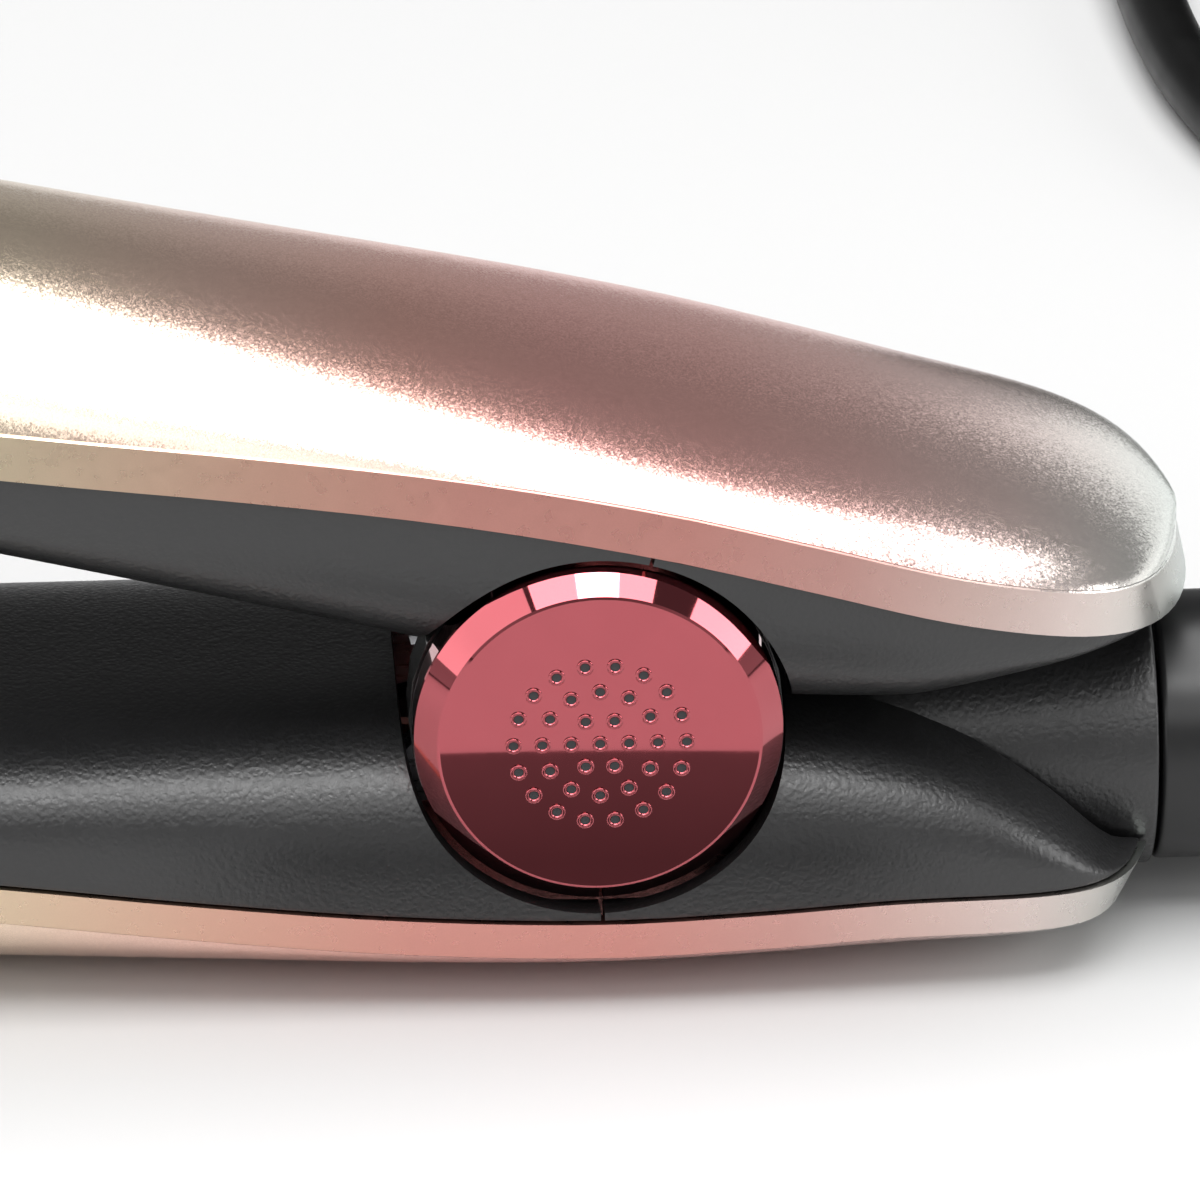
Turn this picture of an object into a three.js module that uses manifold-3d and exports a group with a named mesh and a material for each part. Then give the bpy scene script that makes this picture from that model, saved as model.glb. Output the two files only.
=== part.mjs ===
// A hair-straightening iron: two sprung arms on a side hinge, floating heater plates,
// and a mains lead on a swivel. Millimetres, +Z up. The iron lies on its lower arm with its
// tips towards -X; the arms stand open, as their spring holds them.
import * as THREE from "three";
import { mergeVertices } from "three/addons/utils/BufferGeometryUtils.js";
import Module from "manifold-3d";

const wasm = await Module();
wasm.setup();

// ---- driving dimensions ----
const GAP = 0.3;                  // clearance between neighbouring pieces
const LOWER_TILT = -1;            // degrees: the lower arm lies with its tip slightly down
const UPPER_TILT = 15;            // degrees: the upper arm where its stop holds it open
const TIP_X = -228;               // arm tip, from the hinge pin
const REAR_X = 42;                // rear end of both arms
const SHELL_WALL = 1.5;
const HOUSING_WALL = 1.6;
const BAND_HEIGHT = 3.26;         // chamfered band round the shell's rim
const BAND_LEAN = 0.98;           // how far the band leans inward over its height
const REAR_ROUND_X = 10;          // the rear rounding starts here
const TIP_ROUND_X = -212;         // and the tip rounding here
const CROWN_HOLD = 0.25;          // the lower, the longer the crown keeps its height towards an end
const SIDE_POWER = 3.4;           // fullness of the housing's section
const FLOOR_Z = -23;              // resting surface, below the pin
const DISC_RADIUS = 13.5;
const DISC_FACE_Y = 20.45;        // outer face of each hinge disc, from the centre plane
const DISC_BEVEL = 1.75;
const DISC_INNER_Y = 15.9;
const RECESS_RADIUS = 14.35;      // round pocket in the housings around hub and disc
const HUB_RADIUS = 13.7;
const PIN_RADIUS = 2.7;
const SWIVEL_Z = -10.1;           // swivel axis, below the pin
const SWIVEL_RADIUS = 10.05;
const BOSS_RADIUS = 10.4;
const BOSS_END_X = 42.1;
const RING_SEAT_X = 41.2;        // floor of the counterbore for the ring in the boss's end
const BOSS_CLEAR_X = 37;          // behind this the boss stands clear of the lower shell
const PLATE_LENGTH = 88;
const PLATE_WIDTH = 26;
const PLATE_X = -172;             // centre of the heater plates
const PLATE_FACE_Z = 0.25;        // plate face, from the plane where the two arms meet
const BUTTON_X = -66;
const CORD_DIAMETER = 6;
const COIL_CENTRE = [100, 212];
const COIL_INNER = 24;
const COIL_OUTER = 42;
const COIL_ROWS = 4;
const COIL_LIFT = 1.2;            // room for the tie under the coil
const RELIEF_START_X = 64.3;
const RELIEF_END_X = 108;

// Centre of the bounding box of the iron without its lead, so that the origin is under it.
const CENTRE_X = (TIP_X + RELIEF_END_X) / 2;

// ---- materials ----
function material(color, roughness, metalness = 0) {
  return new THREE.MeshStandardMaterial({ color, roughness, metalness });
}
const PAINT = [0xc98f84, 0.35, 0.7];
const SOFT_BLACK = [0x262626, 0.55];
const GLOSS_BLACK = [0x0c0c0c, 0.2];
const ROSE_METAL = [0xb8505c, 0.12, 1];
const STEEL = [0x9a9a9c, 0.3, 1];
const CERAMIC = [0xe8e4dc, 0.6];
const PLATE_COAT = [0x2b2422, 0.25, 0.4];
const CARRIER = [0x1b1b1b, 0.7];
const SILICONE = [0xb04030, 0.8];
const BOARD = [0x1f5a35, 0.5];
const BRASS = [0xb59a4a, 0.3, 1];
const CLEAR = [0xe8e8e8, 0.3];
const WIRE = [0x7a2a2a, 0.6];
const FABRIC = [0x202020, 0.9];

// ---- profiles along an arm, in the arm's own frame: x along it, z away from the other arm ----
function smooth(points) {
  // Cubic Hermite curve through [x, value] pairs, with the slope at each taken from its neighbours.
  const slope = points.map((point, i) => {
    const a = points[Math.max(i - 1, 0)];
    const b = points[Math.min(i + 1, points.length - 1)];
    return (b[1] - a[1]) / (b[0] - a[0]);
  });
  return (x) => {
    let i = 0;
    while (i < points.length - 2 && x > points[i + 1][0]) i += 1;
    const [x0, y0] = points[i];
    const [x1, y1] = points[i + 1];
    const step = x1 - x0;
    const t = (x - x0) / step;
    const u = 1 - t;
    return y0 * (1 + 2 * t) * u * u + y1 * (3 - 2 * t) * t * t
      + step * t * u * (slope[i] * u - slope[i + 1] * t);
  };
}

const rimZ = smooth([[-232, 5.6], [-120, 6.2], [-80, 7], [-60, 8.4], [-44, 10.4], [-30, 12.4],
  [-15, 14.2], [0, 15.15], [12, 15.05], [22, 14.8], [32, 15.2], [42, 15.8]]);
const crownZ = smooth([[-232, 18.9], [-44, 22.2], [-15, 22.35], [0, 22.2], [12, 22.1],
  [22, 22], [30, 21.7], [36, 21.2], [42, 20.4]]);
const bodyWidth = smooth([[-232, 17], [-120, 17.5], [-80, 18.6], [-44, 19.3], [-15, 19.8],
  [0, 20], [14, 19.8], [24, 19.4], [32, 18.7], [42, 17.2]]);

// The housings' inner faces rise towards the rear, to clear each other and the swivel boss. The
// power says how square an arm's rear end is in plan.
const UPPER = {
  rearPower: 7,
  faceZ: smooth([[-232, 0.9], [0, 0.9], [5, 1.2], [10, 2], [14, 2.9], [18, 3.9], [22, 5.1],
    [25, 6.7], [29, 9.1], [33, 11.5], [36, 13.4], [39.5, 15], [42, 15.3]]),
};
const LOWER = {
  rearPower: 12,
  faceZ: smooth([[-232, 0.9], [0, 0.9], [5, 1.1], [10, 1.5], [14, 2], [18, 2.7], [22.7, 3.9],
    [26, 5.1], [28.6, 6.3], [32, 8.6], [34.5, 10.8], [37, 13.6], [38.6, 15], [42, 15.3]]),
};

// Share of the full width left at x, where both ends round off in plan.
function endShare(x, inset, rearPower) {
  const rear = Math.max(0, (x - REAR_ROUND_X) / (REAR_X - inset - REAR_ROUND_X));
  const tip = Math.max(0, (x - TIP_ROUND_X) / (TIP_X + inset - TIP_ROUND_X));
  return Math.sqrt(Math.max(0, 1 - rear ** rearPower - tip ** 2.4));
}

// Stations along an arm, closer together where an end rounds off.
function stations(from, to, inset = 0) {
  const low = TIP_X + inset;
  const high = REAR_X - inset;
  const list = [];
  for (let i = 0; i <= 5; i += 1) {
    list.push(low + (TIP_ROUND_X - low) * (1 - Math.cos((i / 5) * Math.PI / 2)) + 0.02);
  }
  for (const x of [-170, -118, -85, -64, -44, -26, -12, 0]) list.push(x);
  for (let i = 0; i <= 7; i += 1) {
    list.push(REAR_ROUND_X + (high - REAR_ROUND_X) * Math.sin((i / 7) * Math.PI / 2) - 0.02);
  }
  const inside = list.filter((x) => x > from + 0.5 && x < to - 0.5);
  return [Math.max(from, low + 0.02), ...inside, Math.min(to, high - 0.02)];
}

// ---- solids ----
function bare(geometry) {
  const copy = geometry.clone();
  copy.deleteAttribute("normal");
  copy.deleteAttribute("uv");
  return mergeVertices(copy, 1e-4);
}

function solid(geometry) {
  const merged = bare(geometry);
  return new wasm.Manifold(new wasm.Mesh({
    numProp: 3,
    vertProperties: new Float32Array(merged.attributes.position.array),
    triVerts: new Uint32Array(merged.index.array),
  }));
}

function geometryOf(manifold) {
  const cut = manifold.getMesh();
  const geometry = new THREE.BufferGeometry();
  geometry.setAttribute("position", new THREE.BufferAttribute(cut.vertProperties, 3));
  geometry.setIndex(new THREE.BufferAttribute(cut.triVerts, 1));
  return geometry;
}

// A closed body through rings of points, each end closed by a fan about its middle.
function loft(rings) {
  const count = rings[0].length;
  const positions = rings.flat().flatMap((p) => [p.x, p.y, p.z]);
  const index = [];
  for (let i = 0; i < rings.length - 1; i += 1) {
    for (let j = 0; j < count; j += 1) {
      const k = (j + 1) % count;
      const a = i * count + j;
      const b = i * count + k;
      index.push(a, b, a + count, b, b + count, a + count);
    }
  }
  [rings[0], rings[rings.length - 1]].forEach((ring, end) => {
    const middle = ring.reduce((sum, p) => sum.add(p), new THREE.Vector3()).divideScalar(count);
    const centre = positions.length / 3;
    positions.push(middle.x, middle.y, middle.z);
    const first = end === 0 ? 0 : (rings.length - 1) * count;
    for (let j = 0; j < count; j += 1) {
      const a = first + j;
      const b = first + (j + 1) % count;
      if (end === 0) index.push(centre, b, a);
      else index.push(centre, a, b);
    }
  });
  const geometry = new THREE.BufferGeometry();
  geometry.setAttribute("position", new THREE.Float32BufferAttribute(positions, 3));
  geometry.setIndex(index);
  return geometry;
}

function box(sizeX, sizeY, sizeZ, x = 0, y = 0, z = 0) {
  return new THREE.BoxGeometry(sizeX, sizeY, sizeZ).translate(x, y, z);
}

function cylinderY(radius, from, to, x = 0, z = 0, sides = 32) {
  return new THREE.CylinderGeometry(radius, radius, to - from, sides).translate(x, (from + to) / 2, z);
}

function cylinderX(radius, from, to, z = 0, sides = 32) {
  return new THREE.CylinderGeometry(radius, radius, to - from, sides)
    .rotateZ(Math.PI / 2).translate((from + to) / 2, 0, z);
}

function cylinderZ(radius, from, to, x = 0, y = 0, sides = 16) {
  return new THREE.CylinderGeometry(radius, radius, to - from, sides)
    .rotateX(Math.PI / 2).translate(x, y, (from + to) / 2);
}

// A slab with rounded corners in plan, from z = 0 up to its thickness.
function roundedSlab(length, width, thickness, radius, cornerSteps = 3) {
  const [a, b] = [length / 2, width / 2];
  const shape = new THREE.Shape();
  shape.absarc(a - radius, b - radius, radius, 0, Math.PI / 2);
  shape.absarc(-a + radius, b - radius, radius, Math.PI / 2, Math.PI);
  shape.absarc(-a + radius, -b + radius, radius, Math.PI, 1.5 * Math.PI);
  shape.absarc(a - radius, -b + radius, radius, 1.5 * Math.PI, 2 * Math.PI);
  return new THREE.ExtrudeGeometry(shape, {
    depth: thickness, bevelEnabled: false, curveSegments: cornerSteps,
  });
}

// A round bar along a curve through points.
function bar(points, radius, sides, steps) {
  const path = new THREE.CatmullRomCurve3(points.map((p) => new THREE.Vector3(...p)), false, "centripetal");
  const section = new THREE.Shape();
  section.absarc(0, 0, radius, 0, 2 * Math.PI);
  return new THREE.ExtrudeGeometry(section, { steps, extrudePath: path, curveSegments: sides / 2 });
}

// A body turned about the X axis, from [x, radius] pairs that start and end on the axis.
function turnedX(profile, sides = 20) {
  const points = profile.map(([x, radius]) => new THREE.Vector2(radius, x));
  return new THREE.LatheGeometry(points, sides).rotateZ(-Math.PI / 2);
}

// ---- building the scene graph ----
const straightener = new THREE.Group();
const iron = new THREE.Group();
iron.position.set(-CENTRE_X, 0, -FLOOR_Z);
straightener.add(iron);

const lowerArm = new THREE.Group();
lowerArm.rotation.y = THREE.MathUtils.degToRad(LOWER_TILT);
const upperArm = new THREE.Group();
upperArm.rotation.y = THREE.MathUtils.degToRad(UPPER_TILT);
iron.add(lowerArm, upperArm);

function add(group, name, shape, look) {
  const geometry = shape instanceof THREE.BufferGeometry ? shape : geometryOf(shape);
  const mesh = new THREE.Mesh(geometry, material(...look));
  mesh.name = name;
  group.add(mesh);
}

// The lower arm is the upper one turned over: z changes sign and so does each face's winding.
function flipped(shape) {
  const geometry = shape instanceof THREE.BufferGeometry ? bare(shape) : geometryOf(shape);
  const turned = geometry.clone().scale(1, 1, -1);
  const index = turned.index.array;
  for (let i = 0; i < index.length; i += 3) {
    [index[i], index[i + 1]] = [index[i + 1], index[i]];
  }
  return turned;
}

// ---- arm shell: a painted cover, chamfered round its rim and crowned across ----
function shellRing(x, wall, skirt, arm) {
  const share = endShare(x, wall, arm.rearPower);
  const width = (bodyWidth(x) - wall) * share;
  const rim = rimZ(x);
  const lean = Math.min(BAND_LEAN, width * 0.5);
  const shoulder = rim + BAND_HEIGHT - wall * 0.4;
  const rise = (crownZ(x) - wall - shoulder) * share ** CROWN_HOLD;
  const ring = [new THREE.Vector3(x, width, rim - skirt), new THREE.Vector3(x, width, rim)];
  const steps = 8;
  for (let i = 0; i <= steps; i += 1) {
    const angle = Math.PI * (i / steps);
    const y = (width - lean) * Math.cos(angle);
    ring.push(new THREE.Vector3(x, y, shoulder + rise * Math.sin(angle) ** 0.9));
  }
  ring.push(new THREE.Vector3(x, -width, rim), new THREE.Vector3(x, -width, rim - skirt));
  return ring;
}

function shell(arm) {
  const outer = loft(stations(TIP_X, REAR_X).map((x) => shellRing(x, 0, 0.01, arm)));
  const inner = loft(stations(TIP_X, REAR_X, SHELL_WALL)
    .map((x) => shellRing(x, SHELL_WALL, 3, arm)));
  return solid(outer).subtract(solid(inner));
}

// ---- housing: the black half that carries plate and electronics, tucked into the shell ----
const TUCK = 1.6;                 // how far the housing's edge reaches up inside the shell
const FACE_Z = 0.9;               // its inner face, from the plane where the arms meet

function housingRing(x, inset, arm) {
  const share = endShare(x, 0.5 + inset, arm.rearPower);
  const width = (bodyWidth(x) - 0.35 - inset) * share;
  const rim = rimZ(x) - GAP * 0.6;
  const face = Math.min(arm.faceZ(x) + inset, rim - 0.3);
  const neck = Math.max(width - SHELL_WALL - GAP, width * 0.5);
  const top = rim + TUCK + (inset > 0 ? 3 : 0);
  const ring = [];
  const steps = 8;
  ring.push(new THREE.Vector3(x, neck, top));
  ring.push(new THREE.Vector3(x, neck, rim));
  ring.push(new THREE.Vector3(x, -neck, rim), new THREE.Vector3(x, -neck, top));
  ring.splice(2, 0, ...Array.from({ length: steps + 1 }, (unused, i) => {
    const angle = Math.PI * (i / steps);
    const side = Math.sign(Math.cos(angle)) * Math.abs(Math.cos(angle)) ** (2 / SIDE_POWER);
    const depth = Math.abs(Math.sin(angle)) ** (2 / SIDE_POWER);
    return new THREE.Vector3(x, width * side, rim - (rim - face) * depth);
  }));
  return ring.reverse();
}

// The boss with its clearance, seen from the upper arm and from the lower one.
function upperBossRoom() {
  const room = cylinderX(BOSS_RADIUS + 0.5, -2, 60, SWIVEL_Z, 24);
  return solid(room.rotateY(THREE.MathUtils.degToRad(-UPPER_TILT)));
}

function lowerBossRoom(from) {
  const room = cylinderX(BOSS_RADIUS + GAP, from, 60, SWIVEL_Z, 24);
  return solid(flipped(room.rotateY(THREE.MathUtils.degToRad(-LOWER_TILT))));
}

// The shell's wall with its clearance, which the housing's edge keeps out of.
function shellRoom(arm) {
  const outer = loft(stations(TIP_X - GAP, REAR_X + GAP, -GAP)
    .map((x) => shellRing(x, -GAP, GAP, arm)));
  const wall = SHELL_WALL + GAP;
  const inner = loft(stations(TIP_X, REAR_X, wall).map((x) => shellRing(x, wall, 3, arm)));
  return solid(outer).subtract(solid(inner));
}

function housingSolid(from, to, arm) {
  const outer = loft(stations(from, to, 0.6).map((x) => housingRing(x, 0, arm)));
  const inner = loft(stations(from, to, 2.6).map((x) => housingRing(x, HOUSING_WALL, arm)));
  return solid(outer).subtract(solid(inner)).subtract(shellRoom(arm));
}

const recess = solid(cylinderY(RECESS_RADIUS, -30, 30, 0, 0, 36));

function frontHousing(openings) {
  const plateWindow = box(PLATE_LENGTH + 2.6, PLATE_WIDTH + 1.6, 8, PLATE_X, 0, 2);
  const whole = housingSolid(TIP_X, -GAP / 2, UPPER).subtract(recess);
  return [plateWindow, ...openings].reduce((body, cut) => body.subtract(solid(cut)), whole);
}

function rearHousing(bossRoom, arm) {
  return housingSolid(GAP / 2, REAR_X, arm).subtract(recess).subtract(bossRoom);
}

// ---- hinge brackets: two cheeks round the pin on a foot that is screwed into the front housing ----
const FOOT_X = [-40, -17];
const SCREW_XS = [-36, -24];
const FOOT_Z = 8.2;

function bracket(cheekInner, cheekOuter, hole) {
  const foot = roundedSlab(FOOT_X[1] - FOOT_X[0], 2 * cheekOuter, 2, 2)
    .translate((FOOT_X[0] + FOOT_X[1]) / 2, 0, FOOT_Z);
  let body = solid(foot);
  for (const side of [-1, 1]) {
    const [from, to] = side > 0 ? [cheekInner, cheekOuter] : [-cheekOuter, -cheekInner];
    const arm = new THREE.Shape();
    arm.absarc(0, 0, 5.8, -0.75 * Math.PI, 0.5 * Math.PI);
    arm.lineTo(-18, FOOT_Z + 2);
    arm.lineTo(-24, FOOT_Z + 2);
    arm.lineTo(-24, FOOT_Z + 0.2);
    arm.lineTo(-16, FOOT_Z - 1.6);
    arm.lineTo(-13.4, FOOT_Z - 4);
    arm.lineTo(-11, 0);
    const cheek = new THREE.ExtrudeGeometry(arm, { depth: to - from, bevelEnabled: false, curveSegments: 9 });
    body = body.add(solid(cheek.rotateX(Math.PI / 2).translate(0, to, 0)));
  }
  for (const x of SCREW_XS) body = body.subtract(solid(cylinderZ(1.9, 0, 20, x)));
  return body.subtract(solid(cylinderY(hole, -20, 20, 0, 0, 18)));
}

function screw(x) {
  const profile = [[0, 0], [0, 1.5], [7, 1.5], [7, 2.9], [8.6, 2.5], [8.9, 0]];
  const points = profile.map(([z, radius]) => new THREE.Vector2(radius, z));
  return new THREE.LatheGeometry(points, 10).rotateX(Math.PI / 2).translate(x, 0, FOOT_Z - 6.9 + 2.2);
}

// ---- heater stack: plate, carrier, ceramic heater and sensor, floating on two cushions ----
const PLATE_THICKNESS = 2.2;
const CARRIER_Z = PLATE_FACE_Z + PLATE_THICKNESS + 1.5;

function heaterPlate() {
  const slab = roundedSlab(PLATE_LENGTH, PLATE_WIDTH, PLATE_THICKNESS, 2.2);
  const tongue = box(PLATE_LENGTH - 10, PLATE_WIDTH - 12, 1.1, 0, 0, PLATE_THICKNESS + 0.5);
  return solid(slab).add(solid(tongue)).translate([PLATE_X, 0, PLATE_FACE_Z]);
}

function plateCarrier() {
  const tray = roundedSlab(PLATE_LENGTH - 1, PLATE_WIDTH - 1, 4.4, 2).translate(PLATE_X, 0, CARRIER_Z - 1.2);
  const well = box(PLATE_LENGTH - 9, PLATE_WIDTH - 11, 8, PLATE_X, 0, CARRIER_Z);
  return solid(tray).subtract(solid(well));
}

function ceramicHeater() {
  return box(70, 12, 1.3, PLATE_X, 0, CARRIER_Z + 0.95);
}

function sensor() {
  return new THREE.SphereGeometry(1.1, 10, 6).scale(1.8, 1, 1).translate(PLATE_X + 37.2, 0, CARRIER_Z + 1.4);
}

function cushion(x) {
  return roundedSlab(9, 18, 1.8, 1.5).translate(x, 0, CARRIER_Z + 4.3);
}

// A shelf across the housing that the cushions press against, with a foot at each side.
function shelf() {
  const deck = box(PLATE_LENGTH - 20, 26.4, 1.4, PLATE_X, 0, CARRIER_Z + 7.2);
  return solid(deck);
}

const PLATE_PIECES = [
  ["plate", heaterPlate, PLATE_COAT],
  ["plate_carrier", plateCarrier, CARRIER],
  ["ceramic_heater", ceramicHeater, CERAMIC],
  ["temperature_sensor", sensor, BRASS],
];

// ---- electronics: a board in each arm, a button and its switch and status light in the upper ----
const BOARD_Z = 8;
const BUTTON_SIZE = [10, 5.4];
const LIGHT_X = BUTTON_X - 14;

function board() {
  return roundedSlab(60, 20, 1.6, 1.5).translate(-77, 0, BOARD_Z);
}

function capsule(length, width, from, to, x) {
  return roundedSlab(length, width, to - from, width / 2 - 0.01, 4).translate(x, 0, from);
}

function powerButton() {
  const cap = capsule(BUTTON_SIZE[0], BUTTON_SIZE[1], 0.55, 3.2, BUTTON_X);
  const flange = capsule(BUTTON_SIZE[0] + 2.4, BUTTON_SIZE[1] + 2.4, 3.1, 4.4, BUTTON_X);
  return solid(cap).add(solid(flange));
}

const buttonHole = capsule(BUTTON_SIZE[0] + 2 * GAP, BUTTON_SIZE[1] + 2 * GAP, -1, 5, BUTTON_X);
const lightHole = capsule(7 + 2 * GAP, 1.8 + 2 * GAP, -1, 5, LIGHT_X);
const UPPER_OPENINGS = [buttonHole, lightHole];

function addArm(group, side, turn, openings, cover) {
  add(group, `${side}_shell`, turn(cover), PAINT);
  add(group, `${side}_front_housing`, turn(frontHousing(openings)), SOFT_BLACK);
  for (const [name, make, look] of PLATE_PIECES) add(group, `${side}_${name}`, turn(make()), look);
  add(group, `${side}_cushion_front`, turn(cushion(PLATE_X - 32)), SILICONE);
  add(group, `${side}_cushion_rear`, turn(cushion(PLATE_X + 32)), SILICONE);
  add(group, `${side}_cushion_shelf`, turn(shelf()), CARRIER);
  SCREW_XS.forEach((x, i) => add(group, `${side}_bracket_screw_${i + 1}`, turn(screw(x)), STEEL));
  const leadZ = CARRIER_Z + 10.4;
  const lead = bar([[PLATE_X + 30, 6, leadZ - 0.6], [-118, 7, leadZ - 1.2], [-92, 8, leadZ - 1.5],
    [-62, 9.2, leadZ - 0.5]], 1, 8, 14);
  add(group, `${side}_heater_lead`, turn(lead), WIRE);
}

const same = (shape) => shape;
addArm(upperArm, "upper", same, UPPER_OPENINGS, shell(UPPER));
add(upperArm, "upper_rear_housing", rearHousing(upperBossRoom(), UPPER), SOFT_BLACK);
add(upperArm, "control_board", board(), BOARD);
add(upperArm, "button_switch", box(5, 5, 2, BUTTON_X, 0, BOARD_Z - 1 - GAP), GLOSS_BLACK);
add(upperArm, "status_light_guide", capsule(7, 1.8, FACE_Z + 0.1, BOARD_Z - GAP, LIGHT_X), CLEAR);
add(upperArm, "sounder", cylinderZ(5, BOARD_Z + 1.9, BOARD_Z + 5.4, -94, -3.5, 24), GLOSS_BLACK);
add(upperArm, "power_button", powerButton(), GLOSS_BLACK);
add(upperArm, "upper_hinge_bracket", bracket(5.6, 8.2, 4.6), STEEL);

const lowerCover = shell(LOWER).subtract(lowerBossRoom(BOSS_CLEAR_X - GAP));
addArm(lowerArm, "lower", flipped, [], lowerCover);
// The boss parts the lower rear housing into a cheek on each side.
const lowerRear = rearHousing(lowerBossRoom(-2), LOWER);
for (const [name, side] of [["left", -1], ["right", 1]]) {
  const half = lowerRear.intersect(solid(box(200, 60, 200, 0, side * 30, 0)));
  add(lowerArm, `lower_rear_housing_${name}`, flipped(half), SOFT_BLACK);
}
add(lowerArm, "supply_board", flipped(board()), BOARD);
add(lowerArm, "thermal_fuse", flipped(cylinderX(1.8, -104, -92, BOARD_Z + 4, 12)), CERAMIC);
add(lowerArm, "lower_hinge_bracket", flipped(bracket(8.6, 11.1, PIN_RADIUS + GAP)), STEEL);

// ---- hinge: pin, bushes, torsion spring, hubs and the round metal discs that close it ----
function ringY(outer, inner, from, to, sides = 28) {
  return solid(cylinderY(outer, from, to, 0, 0, sides))
    .subtract(solid(cylinderY(inner, from - 1, to + 1, 0, 0, 16)));
}

function hingeDisc(side) {
  const profile = [[0, DISC_INNER_Y], [DISC_RADIUS, DISC_INNER_Y],
    [DISC_RADIUS, DISC_FACE_Y - DISC_BEVEL], [DISC_RADIUS - DISC_BEVEL, DISC_FACE_Y], [0, DISC_FACE_Y]];
  const points = profile.map(([radius, y]) => new THREE.Vector2(radius, y));
  const disc = new THREE.LatheGeometry(points, 32);
  return side > 0 ? disc : disc.rotateX(Math.PI);
}

// Four turns round the pin, with one leg towards each arm.
function torsionSpring() {
  const points = [[-13, -4.2, 0.6], [-6, -4.2, 2.6]];
  const turns = 4;
  const steps = 8;
  for (let i = 0; i <= turns * steps; i += 1) {
    const angle = Math.PI * 0.6 + 2 * Math.PI * (i / steps);
    points.push([4.3 * Math.cos(angle), -4.2 + 8.4 * (i / (turns * steps)), 4.3 * Math.sin(angle)]);
  }
  points.push([-7, 4.2, 2.2], [-13, 4.2, -0.6]);
  return bar(points, 0.6, 6, 40);
}

for (const [name, side] of [["left", -1], ["right", 1]]) {
  const [hubFrom, hubTo] = side > 0 ? [11.5, 15.5] : [-15.5, -11.5];
  const [bushFrom, bushTo] = side > 0 ? [5.3, 8.3] : [-8.3, -5.3];
  add(iron, `hinge_hub_${name}`, ringY(HUB_RADIUS, PIN_RADIUS + GAP, hubFrom, hubTo), GLOSS_BLACK);
  add(iron, `hinge_bush_${name}`, ringY(4.3, PIN_RADIUS + GAP, bushFrom, bushTo, 16), BRASS);
  add(iron, `hinge_disc_${name}`, hingeDisc(side), ROSE_METAL);
}
add(iron, "hinge_pin", cylinderY(PIN_RADIUS, -15.4, 15.4, 0, 0, 24), STEEL);
add(iron, "hinge_spring", torsionSpring(), STEEL);

// ---- swivel: a boss on the lower arm, and in it the collar that turns with the lead ----
function atSwivel(shape) {
  return shape.translate(0, 0, SWIVEL_Z);
}

const bossProfile = [[9, 3], [9, 8.4], [13, BOSS_RADIUS], [BOSS_END_X - 0.6, BOSS_RADIUS],
  [BOSS_END_X, BOSS_RADIUS - 0.6], [BOSS_END_X, 9.6], [RING_SEAT_X, 9.6], [RING_SEAT_X, 5.2],
  [36, 5.2], [36, 7.6], [13, 7.6], [13, 3], [9, 3]];
const collarProfile = [[27, 2.2], [27, 4.8], [42.4, 4.8], [42.4, 9.6], [42.9, SWIVEL_RADIUS],
  [56, SWIVEL_RADIUS], [60, 9.2], [62.6, 7.6], [64, 6.6], [64, 2.2], [27, 2.2]];

// Ahead of its free end the boss lies inside the lower shell, and is relieved to fit there.
function boss() {
  const room = flipped(loft(stations(-12, REAR_X + GAP, -GAP)
    .map((x) => shellRing(x, -GAP, GAP, LOWER))));
  const inner = flipped(loft(stations(-10, REAR_X, SHELL_WALL + GAP)
    .map((x) => shellRing(x, SHELL_WALL + GAP, 3, LOWER))));
  const tilt = THREE.MathUtils.degToRad(LOWER_TILT);
  const wall = solid(room.rotateY(tilt)).subtract(solid(inner.rotateY(tilt)));
  const ahead = solid(box(60, 60, 60, BOSS_CLEAR_X - 30, 0, -20));
  return solid(atSwivel(turnedX(bossProfile, 24))).subtract(wall.intersect(ahead));
}
add(iron, "swivel_boss", boss(), SOFT_BLACK);
add(iron, "contact_carrier", atSwivel(turnedX([[15, 0], [15, 7], [20, 7], [20, 0]], 24)), CARRIER);
add(iron, "contact_pin", cylinderX(1.6, 20.3, 34, SWIVEL_Z, 12), BRASS);
const ringProfile = [[41.5, 5.2], [41.5, 9.3], [42.1, 9.3], [42.1, 5.2], [41.5, 5.2]];
add(iron, "swivel_ring", atSwivel(turnedX(ringProfile)), GLOSS_BLACK);

const lead = new THREE.Group();
iron.add(lead);
add(lead, "swivel_collar", atSwivel(turnedX(collarProfile)), SOFT_BLACK);
add(lead, "swivel_clip", atSwivel(turnedX([[31, 5.1], [31, 7], [32.2, 7], [32.2, 5.1], [31, 5.1]], 24)), STEEL);

// A tapered sleeve with flexing ribs round the lead.
function strainRelief() {
  const radiusAt = (x) => 6.3 - 2.3 * ((x - RELIEF_START_X) / (RELIEF_END_X - RELIEF_START_X));
  const profile = [[RELIEF_START_X, 0], [RELIEF_START_X, radiusAt(RELIEF_START_X)]];
  const ribs = 5;
  const pitch = 5;
  for (let i = 0; i < ribs; i += 1) {
    const x = RELIEF_START_X + 6 + i * pitch;
    profile.push([x, radiusAt(x)], [x + 0.4, radiusAt(x) - 0.9]);
    profile.push([x + 1.4, radiusAt(x) - 0.9], [x + 1.8, radiusAt(x)]);
  }
  profile.push([RELIEF_END_X - 0.8, 4], [RELIEF_END_X, 3.5], [RELIEF_END_X, 0]);
  return turnedX(profile, 12);
}
add(lead, "strain_relief", atSwivel(strainRelief()), SOFT_BLACK);

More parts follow.
